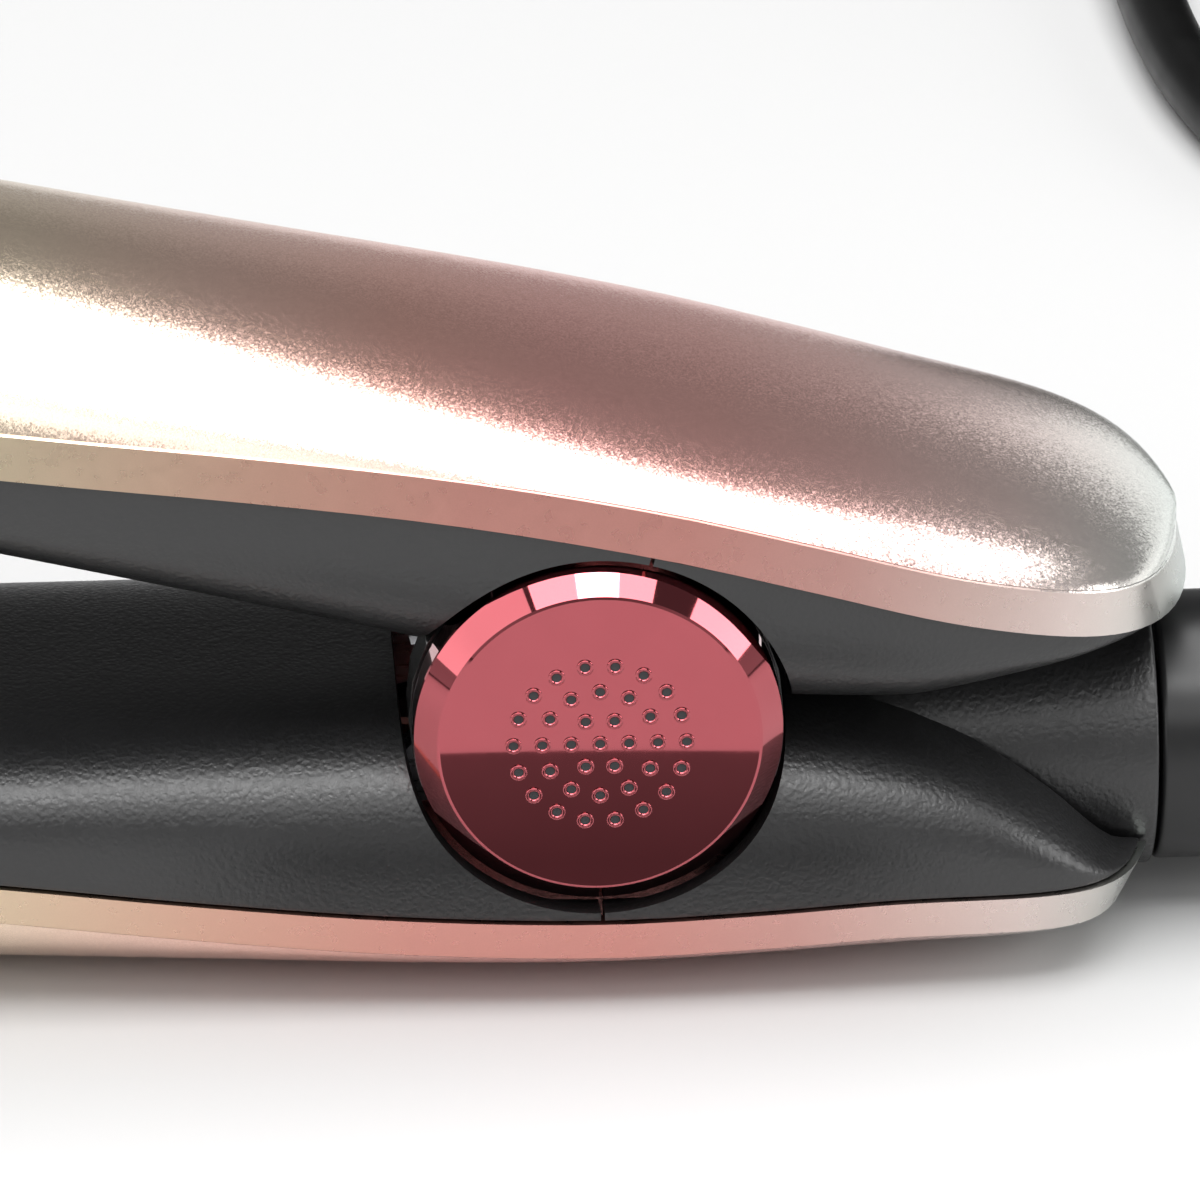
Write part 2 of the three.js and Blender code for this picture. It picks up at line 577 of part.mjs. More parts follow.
// ---- mains lead: down to the surface, round in an S, then wound into a tied coil ----
const LYING_Z = FLOOR_Z + CORD_DIAMETER / 2;
const leadPoints = [
  [RELIEF_END_X + GAP, 0, SWIVEL_Z], [118, 0.3, -10.9], [130, 1.8, -13.6], [142, 6, -17.2],
  [153, 14, -19.5], [160, 25, LYING_Z], [162.5, 38, LYING_Z], [160.5, 51, LYING_Z],
  [154, 64, LYING_Z], [143, 75, LYING_Z], [129, 83, LYING_Z], [114, 89, LYING_Z],
  [99, 95.5, LYING_Z], [85, 104, LYING_Z], [74, 115, LYING_Z], [66.5, 128.5, LYING_Z],
  [62.6, 143, LYING_Z], [61, 158, LYING_Z], [60.6, 173, LYING_Z + 0.5], [60.7, 188.4, LYING_Z + 1.1],
];
add(lead, "cord_lead", bar(leadPoints, CORD_DIAMETER / 2, 8, 38), GLOSS_BLACK);

const coilBottom = FLOOR_Z + COIL_LIFT;
const coilTop = coilBottom + COIL_ROWS * CORD_DIAMETER;

function coil() {
  const edge = 1.2;
  const profile = [
    [COIL_INNER, coilBottom + edge], [COIL_INNER + edge, coilBottom], [COIL_OUTER - edge, coilBottom],
    [COIL_OUTER, coilBottom + edge], [COIL_OUTER, coilTop - edge], [COIL_OUTER - edge, coilTop],
    [COIL_INNER + edge, coilTop], [COIL_INNER, coilTop - edge], [COIL_INNER, coilBottom + edge],
  ];
  const points = profile.map(([radius, z]) => new THREE.Vector2(radius, z));
  const ring = new THREE.LatheGeometry(points, 30).rotateX(Math.PI / 2);
  return ring.translate(COIL_CENTRE[0], COIL_CENTRE[1], 0);
}
add(lead, "cord_coil", coil(), GLOSS_BLACK);

// The tie is a flat strap round the coil's section, on its side away from the iron's tip.
function tie() {
  const width = 12;
  const inner = Math.sqrt(COIL_INNER ** 2 - (width / 2) ** 2) - GAP;
  const outer = COIL_OUTER + GAP;
  const [low, high] = [coilBottom - GAP, coilTop + GAP];
  const wall = 0.8;
  const middle = [(inner + outer) / 2, (low + high) / 2];
  const around = box(outer - inner + 2 * wall, width, high - low + 2 * wall, middle[0], 0, middle[1]);
  const inside = box(outer - inner, 2 * width, high - low, middle[0], 0, middle[1]);
  return solid(around).subtract(solid(inside)).translate([COIL_CENTRE[0], COIL_CENTRE[1], 0]);
}
add(lead, "cord_tie", tie(), FABRIC);

// The lead's last stretch bends across the top of the coil to the plug, which lies on the coil.
const PLUG_BOTTOM = coilTop + GAP;
const PLUG_AXIS_Z = PLUG_BOTTOM + 6.8;
const PLUG_TAIL_Y = -17.8;        // the end that the lead goes into, from the plug's middle
const plugX = COIL_CENTRE[0] - 22;
const plugY = COIL_CENTRE[1] + 6;
const tailBend = 4 * CORD_DIAMETER;
const tailZ = coilTop + CORD_DIAMETER / 2 + GAP;
const tailSteps = 6;
const tailPoints = [];
for (let i = 0; i <= tailSteps; i += 1) {
  const angle = Math.PI * (1.5 - 0.5 * (i / tailSteps));
  const lift = 0.5 - 0.5 * Math.cos(Math.PI * (i / tailSteps));
  tailPoints.push([plugX + tailBend * (1 + Math.cos(angle)),
    plugY + PLUG_TAIL_Y - 3 + tailBend * Math.sin(angle), tailZ + (PLUG_AXIS_Z - tailZ) * lift]);
}
tailPoints.push([plugX, plugY + PLUG_TAIL_Y - GAP, PLUG_AXIS_Z]);
add(lead, "cord_tail", bar(tailPoints, CORD_DIAMETER / 2, 8, 14), GLOSS_BLACK);

// A slim two-pin plug, flat side down.
function plugBody() {
  const outline = new THREE.Shape();
  outline.moveTo(PLUG_TAIL_Y, -3.9);
  outline.splineThru([[-12, -5.4], [-3, -11.5], [4, -16]].map(([x, y]) => new THREE.Vector2(x, y)));
  outline.absarc(11, -13, 4, -0.5 * Math.PI, 0);
  outline.absarc(11, 13, 4, 0, 0.5 * Math.PI);
  outline.lineTo(4, 16);
  outline.splineThru([[-3, 11.5], [-12, 5.4], [PLUG_TAIL_Y, 3.9]].map(([x, y]) => new THREE.Vector2(x, y)));
  const body = new THREE.ExtrudeGeometry(outline, { depth: 13.6, bevelEnabled: false, curveSegments: 5 });
  return body.rotateZ(Math.PI / 2).translate(plugX, plugY, PLUG_BOTTOM);
}
add(lead, "plug_body", plugBody(), SOFT_BLACK);
for (const [name, side] of [["left", -1], ["right", 1]]) {
  const pin = cylinderY(2, 15 + GAP, 34, 0, 0, 16).translate(plugX + side * 9.3, plugY, PLUG_AXIS_Z);
  add(lead, `plug_pin_${name}`, pin, BRASS);
}

export default straightener;
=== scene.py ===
"""A hair-straightening iron, open, lying on a pale studio floor with its lead coiled behind it.
Arm pieces are built in millimetres in the arm's own frame (x along it, z away from the other
arm) and then turned about the hinge pin. The swivel's pieces are built from the boss's axis, and
everything else from the pin."""
import math

import bmesh
import bpy
from mathutils import Matrix, Vector

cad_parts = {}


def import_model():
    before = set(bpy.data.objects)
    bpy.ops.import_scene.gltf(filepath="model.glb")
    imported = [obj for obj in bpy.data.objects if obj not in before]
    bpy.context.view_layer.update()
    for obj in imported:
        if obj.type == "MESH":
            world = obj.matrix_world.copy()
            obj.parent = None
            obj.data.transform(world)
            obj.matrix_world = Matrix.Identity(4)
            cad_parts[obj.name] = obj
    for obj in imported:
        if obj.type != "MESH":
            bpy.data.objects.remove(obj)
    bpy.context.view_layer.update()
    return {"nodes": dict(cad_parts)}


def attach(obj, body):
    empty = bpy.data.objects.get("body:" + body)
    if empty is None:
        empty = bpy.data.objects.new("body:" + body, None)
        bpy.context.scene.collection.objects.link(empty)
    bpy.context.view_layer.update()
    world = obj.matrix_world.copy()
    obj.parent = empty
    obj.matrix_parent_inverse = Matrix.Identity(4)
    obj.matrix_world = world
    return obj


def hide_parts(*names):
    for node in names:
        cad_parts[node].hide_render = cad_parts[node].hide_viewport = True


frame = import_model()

# ---- driving dimensions, in millimetres from the hinge pin, as the CAD has them ----
MM = 0.001
PIN = Vector((60, 0, 23))         # the hinge pin's middle, in the row frame
GAP = 0.3                         # clearance between neighbouring pieces
LOWER_TILT = -1
UPPER_TILT = 15
TIP_X = -228
REAR_X = 42
SHELL_WALL = 1.5
HOUSING_WALL = 1.6
BAND_HEIGHT = 3.26
BAND_LEAN = 0.98
REAR_ROUND_X = 10
REAR_POWER = {"upper": 7, "lower": 12}    # how square each arm's rear end is in plan
TIP_ROUND_X = -212
TIP_POWER = 2.4                   # and both tips
CROWN_HOLD = 0.25                 # the lower, the longer the crown keeps its height towards an end
SIDE_POWER = 3.4                  # how square a housing's section is
FLOOR_Z = -23                     # the surface that the iron lies on
TUCK = 1.6                        # how far a housing's edges reach inside its shell
DISC_RADIUS = 13.5
DISC_FACE_Y = 20.45
DISC_BEVEL = 1.75
DISC_INNER_Y = 15.9
RECESS_RADIUS = 14.35
SWIVEL_Z = -10.1
SWIVEL_RADIUS = 10.05
BOSS_RADIUS = 10.4
BOSS_END_X = 42.1
RING_SEAT_X = 41.2
RING_SEAT_RADIUS = 9.6
RING_BORE = 5.2
BOSS_CLEAR_X = 37
PLATE_LENGTH = 88
PLATE_WIDTH = 26
PLATE_X = -172
BUTTON_X = -66
BUTTON_SIZE = (10, 5.4)
LIGHT_X = BUTTON_X - 14
LIGHT_SIZE = (7, 1.8)
CORD_DIAMETER = 6
COIL_CENTRE = (100, 212)
COIL_RADII = (39, 33, 27)
COIL_ROWS = 4
COIL_LIFT = 1.2
RELIEF_START_X = 64.3
RELIEF_END_X = 108
PLUG_HALF_HEIGHT = 6.8


# ---- camera: a long lens at the photograph's angle ----
def add_camera():
    data = bpy.data.cameras.new("camera")
    data.lens = 300
    data.sensor_width = 36
    data.clip_start = 0.05
    camera = bpy.data.objects.new("camera", data)
    bpy.context.scene.collection.objects.link(camera)
    turn, tip = math.radians(-3.5), math.radians(26.35)
    right = Vector((math.cos(turn), math.sin(turn), 0))
    ahead = Vector((-math.sin(turn) * math.cos(tip), math.cos(turn) * math.cos(tip), -math.sin(tip)))
    up = right.cross(ahead)
    view = Matrix((right, up, -ahead)).transposed().to_4x4()
    camera.matrix_world = Matrix.Translation((0.020626, -0.663970, 0.353977)) @ view
    bpy.context.scene.camera = camera


add_camera()


# ---- profiles along an arm ----
def smooth(points):
    """Cubic Hermite curve through (x, value) pairs, its slopes taken from the neighbours."""
    slope = []
    for i in range(len(points)):
        a, b = points[max(i - 1, 0)], points[min(i + 1, len(points) - 1)]
        slope.append((b[1] - a[1]) / (b[0] - a[0]))

    def value(x):
        i = 0
        while i < len(points) - 2 and x > points[i + 1][0]:
            i += 1
        (x0, y0), (x1, y1) = points[i], points[i + 1]
        step = x1 - x0
        t = (x - x0) / step
        u = 1 - t
        return (y0 * (1 + 2 * t) * u * u + y1 * (3 - 2 * t) * t * t
                + step * t * u * (slope[i] * u - slope[i + 1] * t))
    return value


rim_z = smooth([(-232, 5.6), (-120, 6.2), (-80, 7), (-60, 8.4), (-44, 10.4), (-30, 12.4),
                (-15, 14.2), (0, 15.15), (12, 15.05), (22, 14.8), (32, 15.2), (42, 15.8)])
crown_z = smooth([(-232, 18.9), (-44, 22.2), (-15, 22.35), (0, 22.2), (12, 22.1), (22, 22),
                  (30, 21.7), (36, 21.2), (42, 20.4)])
body_width = smooth([(-232, 17), (-120, 17.5), (-80, 18.6), (-44, 19.3), (-15, 19.8), (0, 20),
                     (14, 19.8), (24, 19.4), (32, 18.7), (42, 17.2)])


# the housings' inner faces rise towards the rear, to clear each other and the swivel boss
face_z = {
    "upper": smooth([(-232, 0.9), (0, 0.9), (5, 1.2), (10, 2), (14, 2.9), (18, 3.9), (22, 5.1),
                     (25, 6.7), (29, 9.1), (33, 11.5), (36, 13.4), (39.5, 15), (42, 15.3)]),
    "lower": smooth([(-232, 0.9), (0, 0.9), (5, 1.1), (10, 1.5), (14, 2), (18, 2.7), (22.7, 3.9),
                     (26, 5.1), (28.6, 6.3), (32, 8.6), (34.5, 10.8), (37, 13.6), (38.6, 15), (42, 15.3)]),
}


def end_share(x, inset, side):
    """Share of the full width left at x, where both ends round off in plan."""
    rear = max(0, (x - REAR_ROUND_X) / (REAR_X - inset - REAR_ROUND_X))
    tip = max(0, (x - TIP_ROUND_X) / (TIP_X + inset - TIP_ROUND_X))
    return math.sqrt(max(0, 1 - rear ** REAR_POWER[side] - tip ** TIP_POWER))


TIP_STEPS = 16
REAR_STEPS = 28
STATION_SPACING = 4


def stations(start, end, inset=0):
    """Places along an arm from start to end, closer where an end rounds off. None is a round end."""
    low, high = TIP_X + inset, REAR_X - inset
    places = []
    if start is None:
        places += [low + (TIP_ROUND_X - low) * (1 - math.cos(i / TIP_STEPS * math.pi / 2))
                   for i in range(TIP_STEPS)]
        start = TIP_ROUND_X
    stop = REAR_ROUND_X if end is None else end
    count = max(2, round((stop - start) / STATION_SPACING))
    places += [start + (stop - start) * i / count for i in range(count + 1)]
    if end is None:
        places += [stop + (high - stop) * math.sin(i / REAR_STEPS * math.pi / 2)
                   for i in range(1, REAR_STEPS + 1)]
    return places


# ---- mesh helpers ----
def arm_matrix(side):
    tilt = math.radians(UPPER_TILT if side == "upper" else LOWER_TILT)
    return Matrix.Translation(PIN * MM) @ Matrix.Rotation(tilt, 4, "Y")


PIN_MATRIX = Matrix.Translation(PIN * MM)
SWIVEL_MATRIX = Matrix.Translation((PIN + Vector((0, 0, SWIVEL_Z))) * MM)


def new_mesh(name, points, faces, place, flip=False):
    """An object from points in millimetres. flip turns it over, for the lower arm."""
    sign = -1 if flip else 1
    mesh = bpy.data.meshes.new(name)
    mesh.from_pydata([(x * MM, y * MM, sign * z * MM) for x, y, z in points], [], faces)
    bm = bmesh.new()
    bm.from_mesh(mesh)
    bmesh.ops.remove_doubles(bm, verts=bm.verts, dist=2e-6)
    bmesh.ops.recalc_face_normals(bm, faces=bm.faces)
    bm.to_mesh(mesh)
    bm.free()
    obj = bpy.data.objects.new(name, mesh)
    bpy.context.scene.collection.objects.link(obj)
    obj.matrix_world = place
    return obj


def loft(rings, round_start=False, round_end=False):
    """Points and faces of a body through closed rings. A round end welds shut by itself."""
    count = len(rings[0])
    points = [p for ring in rings for p in ring]
    faces = []
    for i in range(len(rings) - 1):
        for j in range(count):
            k = (j + 1) % count
            faces.append((i * count + j, i * count + k, (i + 1) * count + k, (i + 1) * count + j))
    if not round_start:
        faces.append(tuple(range(count)))
    if not round_end:
        faces.append(tuple(range((len(rings) - 1) * count, len(rings) * count))[::-1])
    return points, faces


def lathe(profile, axis="X", sides=128, closed=False):
    """A body turned about an axis, from (place along it, radius) pairs. A radius of 0 is on the axis."""
    turn = {
        "X": lambda a, y, z: (a, y, z),
        "Y": lambda a, y, z: (z, a, y),
    }[axis]
    points, faces = [], []
    for place, radius in profile:
        for i in range(sides):
            angle = 2 * math.pi * i / sides
            points.append(turn(place, radius * math.cos(angle), radius * math.sin(angle)))
    rows = len(profile)
    for row in range(rows if closed else rows - 1):
        below, above = row * sides, ((row + 1) % rows) * sides
        for i in range(sides):
            k = (i + 1) % sides
            faces.append((below + i, below + k, above + k, above + i))
    return points, faces


def box_mesh(low, high):
    points = [(x, y, z) for x in (low[0], high[0]) for y in (low[1], high[1]) for z in (low[2], high[2])]
    faces = [(0, 1, 3, 2), (4, 6, 7, 5), (0, 4, 5, 1), (2, 3, 7, 6), (0, 2, 6, 4), (1, 5, 7, 3)]
    return points, faces


def capsule(length, width, low, high, x, steps=16):
    """A slab with round ends, standing from low to high."""
    radius, reach = width / 2, (length - width) / 2
    outline = []
    for i in range(2 * steps + 2):
        angle = -math.pi / 2 + math.pi * (i if i <= steps else i - 1) / steps
        middle = reach if i <= steps else -reach
        outline.append((x + middle + radius * math.cos(angle), radius * math.sin(angle)))
    return loft([[(px, py, z) for px, py in outline] for z in (low, high)])


def evaluated(obj):
    """Replaces an object's mesh by what its modifiers make of it."""
    depsgraph = bpy.context.evaluated_depsgraph_get()
    mesh = bpy.data.meshes.new_from_object(obj.evaluated_get(depsgraph))
    obj.modifiers.clear()
    obj.data = mesh
    return obj


def combine(obj, cutter, operation="DIFFERENCE"):
    """Cuts, joins or intersects, and removes the cutter."""
    modifier = obj.modifiers.new("cut", "BOOLEAN")
    modifier.operation = operation
    modifier.solver = "EXACT"
    modifier.object = cutter
    bpy.context.view_layer.update()
    evaluated(obj)
    bpy.data.objects.remove(cutter)
    return obj


def soften(obj, angle=30, bevel=0, weighted=False):
    """Smooth shading up to an angle, with an optional small rounding of the sharp edges."""
    obj.data.shade_smooth()
    obj.data.set_sharp_from_angle(angle=math.radians(angle))
    if bevel:
        modifier = obj.modifiers.new("edges", "BEVEL")
        modifier.width = bevel * MM
        modifier.segments = 2
        modifier.limit_method = "ANGLE"
        modifier.angle_limit = math.radians(angle)
        modifier.harden_normals = True
    if weighted:
        modifier = obj.modifiers.new("normals", "WEIGHTED_NORMAL")
        modifier.keep_sharp = True
    return obj


def finish(obj, body, slot, look, *nodes):
    """Puts a finished piece on its body, with its material and the CAD nodes it stands for."""
    for material in look if isinstance(look, (list, tuple)) else [look]:
        obj.data.materials.append(material)
    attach(obj, body)
    if nodes:
        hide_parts(*nodes)
    return obj


# ---- materials: small node graphs on object coordinates, which are metres in the arm's frame ----
class Look:
    def __init__(self, name, **sockets):
        self.material = bpy.data.materials.new(name)
        self.material.use_nodes = True
        self.tree = self.material.node_tree
        self.tree.nodes.clear()
        self.output = self.tree.nodes.new("ShaderNodeOutputMaterial")
        self.shader = self.tree.nodes.new("ShaderNodeBsdfPrincipled")
        self.link(self.shader.outputs[0], self.output.inputs[0])
        self.place = self.tree.nodes.new("ShaderNodeTexCoord").outputs["Object"]
        for key, value in sockets.items():
            self.shader.inputs[key.replace("_", " ")].default_value = value

    def link(self, source, target):
        self.tree.links.new(source, target)

    def node(self, kind, inputs=None, **settings):
        made = self.tree.nodes.new("ShaderNode" + kind)
        for key, value in settings.items():
            setattr(made, key, value)
        for key, value in (inputs or {}).items():
            if isinstance(value, bpy.types.NodeSocket):
                self.link(value, made.inputs[key])
            else:
                made.inputs[key].default_value = value
        return made

    def noise(self, size, detail=3, roughness=0.5, place=None):
        """Noise with features of about that size, in millimetres."""
        made = self.node("TexNoise", {"Scale": 1 / (size * MM), "Detail": detail, "Roughness": roughness})
        self.link(place or self.place, made.inputs["Vector"])
        return made

    def cells(self, size, feature="F1", place=None):
        made = self.node("TexVoronoi", {"Scale": 1 / (size * MM)}, feature=feature)
        self.link(place or self.place, made.inputs["Vector"])
        return made

    def squeezed(self, x, y, z):
        made = self.node("Mapping", {"Vector": self.place})
        made.inputs["Scale"].default_value = (x, y, z)
        return made.outputs[0]

    def axis(self, name, low, high):
        """A coordinate mapped from low..high millimetres to 0..1."""
        split = self.node("SeparateXYZ", {0: self.place})
        return self.node("MapRange", {"Value": split.outputs[name], "From Min": low * MM,
                                      "From Max": high * MM}).outputs[0]

    def ramp(self, source, stops):
        """A colour ramp from (position, linear colour) stops."""
        made = self.node("ValToRGB", {"Fac": source})
        elements = made.color_ramp.elements
        while len(elements) < len(stops):
            elements.new(0.5)
        for element, (position, colour) in zip(elements, stops):
            element.position = position
            element.color = (*colour, 1)
        return made.outputs[0]

    def mix(self, factor, a, b, blend="MIX"):
        made = self.node("Mix", data_type="RGBA", blend_type=blend)
        for socket, value in ((made.inputs[0], factor), (made.inputs[6], a), (made.inputs[7], b)):
            if isinstance(value, bpy.types.NodeSocket):
                self.link(value, socket)
            else:
                socket.default_value = value if socket == made.inputs[0] else (*value, 1)
        return made.outputs[2]

    def toned(self, colour, tone):
        """A colour made lighter or darker by a tone of about 1."""
        grey = self.node("CombineColor", {0: tone, 1: tone, 2: tone})
        return self.mix(1.0, colour, grey.outputs[0], "MULTIPLY")

    def math(self, operation, a, b=0.0):
        return self.node("Math", {0: a, 1: b}, operation=operation).outputs[0]

    def spread(self, source, low, high, a=0.0, b=1.0):
        return self.node("MapRange", {"Value": source, "From Min": low, "From Max": high,
                                      "To Min": a, "To Max": b}).outputs[0]

    def bump(self, height, strength, distance, normal=None):
        made = self.node("Bump", {"Height": height, "Strength": strength, "Distance": distance * MM})
        if normal:
            self.link(normal, made.inputs["Normal"])
        return made.outputs[0]

    def put(self, socket, value):
        if isinstance(value, bpy.types.NodeSocket):
            self.link(value, self.shader.inputs[socket])
        else:
            self.shader.inputs[socket].default_value = value
        return self


def srgb(red, green, blue):
    """A linear colour from 0..255 display values."""
    def linear(v):
        v /= 255
        return v / 12.92 if v <= 0.04045 else ((v + 0.055) / 1.055) ** 2.4
    return tuple(linear(v) for v in (red, green, blue))


OMBRE_FROM, OMBRE_TO = -48, 46    # the stretch over which the paint changes colour


def ombre(look, stops):
    """A colour ramp along the arm from (x in millimetres, linear colour) stops."""
    reach = OMBRE_TO - OMBRE_FROM
    return look.ramp(look.axis("X", OMBRE_FROM, OMBRE_TO),
                     [((x - OMBRE_FROM) / reach, colour) for x, colour in stops])


def crown_paint():
    """Pearl paint with fine metal flakes: champagne, then rose, then a pale mint at the rear."""
    look = Look("pearl_flake_paint", Metallic=0.92)
    look.shader.inputs["Coat Weight"].default_value = 0.15
    look.shader.inputs["Coat Roughness"].default_value = 0.2
    base = ombre(look, [(-48, (0.88, 0.73, 0.57)), (-34, (0.90, 0.62, 0.52)), (-20, (0.91, 0.52, 0.44)),
                        (-8, (0.92, 0.49, 0.44)), (4, (0.92, 0.51, 0.46)), (14, (0.92, 0.58, 0.53)),
                        (26, (0.91, 0.72, 0.67)), (40, (0.82, 0.87, 0.83))])
    flake = look.cells(0.14)
    tone = look.spread(flake.outputs["Distance"], 0, 0.8, 0.9, 1.08)
    look.put("Base Color", look.toned(base, tone))
    # every flake tips its own way
    off = look.node("VectorMath", {0: flake.outputs["Color"], 1: (0.5, 0.5, 0.5)}, operation="SUBTRACT")
    tipped = look.node("VectorMath", {0: off.outputs[0]}, operation="SCALE")
    tipped.inputs["Scale"].default_value = 0.08
    normal = look.node("NewGeometry").outputs["Normal"]
    total = look.node("VectorMath", {0: normal, 1: tipped.outputs[0]}, operation="ADD")
    unit = look.node("VectorMath", {0: total.outputs[0]}, operation="NORMALIZE")
    look.put("Normal", unit.outputs[0])
    look.put("Roughness", look.spread(look.noise(0.5).outputs["Fac"], 0.3, 0.7, 0.21, 0.24))
    return look.material


def band_paint():
    """The chamfer round the rim: the same colours, deeper and satin."""
    look = Look("satin_band_paint", Metallic=1.0)
    base = ombre(look, [(-48, (0.75, 0.62, 0.44)), (-29, (0.73, 0.44, 0.34)), (-14, (0.71, 0.34, 0.29)),
                        (2, (0.69, 0.32, 0.28)), (14, (0.67, 0.38, 0.34)), (23, (0.72, 0.52, 0.47)),
                        (31, (0.74, 0.62, 0.58)), (42, (0.50, 0.56, 0.53))])
    grain = look.noise(0.1, 2)
    tone = look.spread(grain.outputs["Fac"], 0.3, 0.7, 0.98, 1.02)
    look.put("Base Color", look.toned(base, tone))
    look.put("Roughness", look.spread(look.noise(1.2).outputs["Fac"], 0.3, 0.7, 0.26, 0.32))
    look.put("Normal", look.bump(grain.outputs["Fac"], 0.1, 0.001))
    return look.material


BLACK = (0.008, 0.008, 0.0084)


def grained_black():
    """Soft-touch plastic with a fine leather-like grain."""
    look = Look("grained_soft_black")
    look.shader.inputs["Specular IOR Level"].default_value = 0.78
    warp = look.noise(0.7, 2)
    bent = look.node("VectorMath", {0: warp.outputs["Color"]}, operation="SCALE")
    bent.inputs["Scale"].default_value = 0.3 * MM
    place = look.node("VectorMath", {0: look.place, 1: bent.outputs[0]}, operation="ADD").outputs[0]
    pebble = look.cells(0.36, "SMOOTH_F1", place)
    fine = look.noise(0.14, 3)
    height = look.math("ADD", pebble.outputs["Distance"],
                       look.math("MULTIPLY", fine.outputs["Fac"], 0.35))
    look.put("Normal", look.bump(height, 0.8, 0.05))
    look.put("Roughness", look.spread(pebble.outputs["Distance"], 0, 0.7, 0.3, 0.42))
    tone = look.noise(6, 2)
    look.put("Base Color", look.mix(look.spread(tone.outputs["Fac"], 0.3, 0.7), BLACK,
                                    tuple(1.25 * c for c in BLACK)))
    return look.material


def moulded(name, colour, roughness, grain, depth, variation=0.15, specular=0.5):
    """Plain plastic, rubber or ceramic with a fine surface and a little colour variation."""
    look = Look(name)
    look.shader.inputs["Specular IOR Level"].default_value = specular
    fine = look.noise(grain, 3)
    broad = look.noise(4, 3)
    look.put("Normal", look.bump(fine.outputs["Fac"], 0.4, depth))
    look.put("Roughness", look.spread(broad.outputs["Fac"], 0.3, 0.7, roughness * 0.88, roughness * 1.12))
    look.put("Base Color", look.mix(look.spread(broad.outputs["Fac"], 0.3, 0.7),
                                    tuple((1 - variation) * c for c in colour),
                                    tuple((1 + variation) * c for c in colour)))
    return look.material


def brushed(name, colour, roughness, along=(0.04, 1, 1), metallic=1.0):
    """Metal with fine parallel brush marks. along is squeezed in the direction of the marks."""
    look = Look(name, Metallic=metallic)
    marks = look.noise(0.12, 3, 0.6, look.squeezed(*along))
    broad = look.noise(3, 2)
    look.put("Normal", look.bump(marks.outputs["Fac"], 0.25, 0.008))
    look.put("Roughness", look.spread(marks.outputs["Fac"], 0.3, 0.7, roughness * 0.8, roughness * 1.25))
    look.put("Base Color", look.mix(look.spread(broad.outputs["Fac"], 0.3, 0.7),
                                    tuple(0.9 * c for c in colour), tuple(1.06 * c for c in colour)))
    return look.material


def mirror_rose():
    """Polished rose-tinted metal, with the faintest cloudiness."""
    look = Look("polished_rose_metal", Metallic=1.0)
    look.shader.inputs["Coat Weight"].default_value = 0.75
    haze = look.noise(5, 3)
    look.put("Roughness", look.spread(haze.outputs["Fac"], 0.3, 0.7, 0.035, 0.06))
    look.put("Base Color", look.mix(look.spread(haze.outputs["Fac"], 0.3, 0.7), (0.42, 0.075, 0.092),
                                    (0.44, 0.08, 0.098)))
    look.put("Normal", look.bump(look.noise(0.08, 2).outputs["Fac"], 0.05, 0.002))
    return look.material


def circuit_board():
    """Green board with lighter tracks and tinned pads."""
    look = Look("circuit_board", Roughness=0.35)
    tracks = look.node("TexBrick", {"Vector": look.place, "Scale": 1 / (9 * MM), "Mortar Size": 0.06,
                                    "Color1": (*srgb(24, 78, 46), 1), "Color2": (*srgb(20, 68, 40), 1),
                                    "Mortar": (*srgb(70, 132, 84), 1)})
    pads = look.cells(2.6)
    pad = look.math("LESS_THAN", pads.outputs["Distance"], 0.17)
    look.put("Base Color", look.mix(pad, tracks.outputs["Color"], (0.75, 0.74, 0.7)))
    look.put("Metallic", pad)
    look.put("Normal", look.bump(pad, 0.3, 0.05))
    return look.material


def woven(name, colour):
    """Close-woven strap."""
    look = Look(name, Roughness=0.85)
    look.shader.inputs["Sheen Weight"].default_value = 0.3
    across = look.node("TexWave", {"Vector": look.place, "Scale": 1 / (5.4 * MM), "Distortion": 0.4},
                       bands_direction="Y")
    along = look.node("TexWave", {"Vector": look.place, "Scale": 1 / (7.2 * MM), "Distortion": 0.4},
                      bands_direction="DIAGONAL")
    weave = look.math("MULTIPLY", across.outputs["Fac"], along.outputs["Fac"])
    look.put("Normal", look.bump(weave, 0.7, 0.15))
    look.put("Base Color", look.mix(weave, tuple(0.5 * c for c in colour), colour))
    return look.material


def light_guide():
    """Clear plastic, frosted by a fine haze."""
    look = Look("frosted_guide", Roughness=0.35)
    look.shader.inputs["Transmission Weight"].default_value = 0.6
    haze = look.noise(0.8, 3)
    look.put("Base Color", look.mix(haze.outputs["Fac"], (0.78, 0.8, 0.82), (0.9, 0.92, 0.93)))
    look.put("Normal", look.bump(haze.outputs["Fac"], 0.15, 0.02))
    return look.material


PAINT = crown_paint()
BAND = band_paint()
GRAINED = grained_black()
SATIN = moulded("satin_black_plastic", BLACK, 0.34, 0.1, 0.006)
RUBBER = moulded("black_rubber", (0.009, 0.009, 0.009), 0.5, 0.14, 0.014)
GLOSS = moulded("gloss_black_plastic", (0.01, 0.01, 0.01), 0.16, 0.3, 0.004)
JACKET = moulded("lead_jacket", (0.004, 0.004, 0.004), 0.36, 0.25, 0.01, specular=0.2)
ROSE = mirror_rose()
STEEL = brushed("brushed_steel", (0.62, 0.62, 0.64), 0.3)
COATING = brushed("plate_coating", (0.12, 0.095, 0.085), 0.2, (0.03, 1, 1), 0.9)
BRASS = brushed("plated_brass", (0.80, 0.62, 0.30), 0.22, (1, 0.05, 1))
CARRIER = moulded("heat_proof_carrier", (0.03, 0.03, 0.032), 0.6, 0.2, 0.03)
CERAMIC = moulded("ceramic", (0.78, 0.76, 0.7), 0.5, 0.15, 0.015, 0.05)
SILICONE = moulded("red_silicone", (0.42, 0.07, 0.045), 0.55, 0.2, 0.015)
WIRE = moulded("silicone_wire", (0.25, 0.03, 0.03), 0.5, 0.2, 0.01)
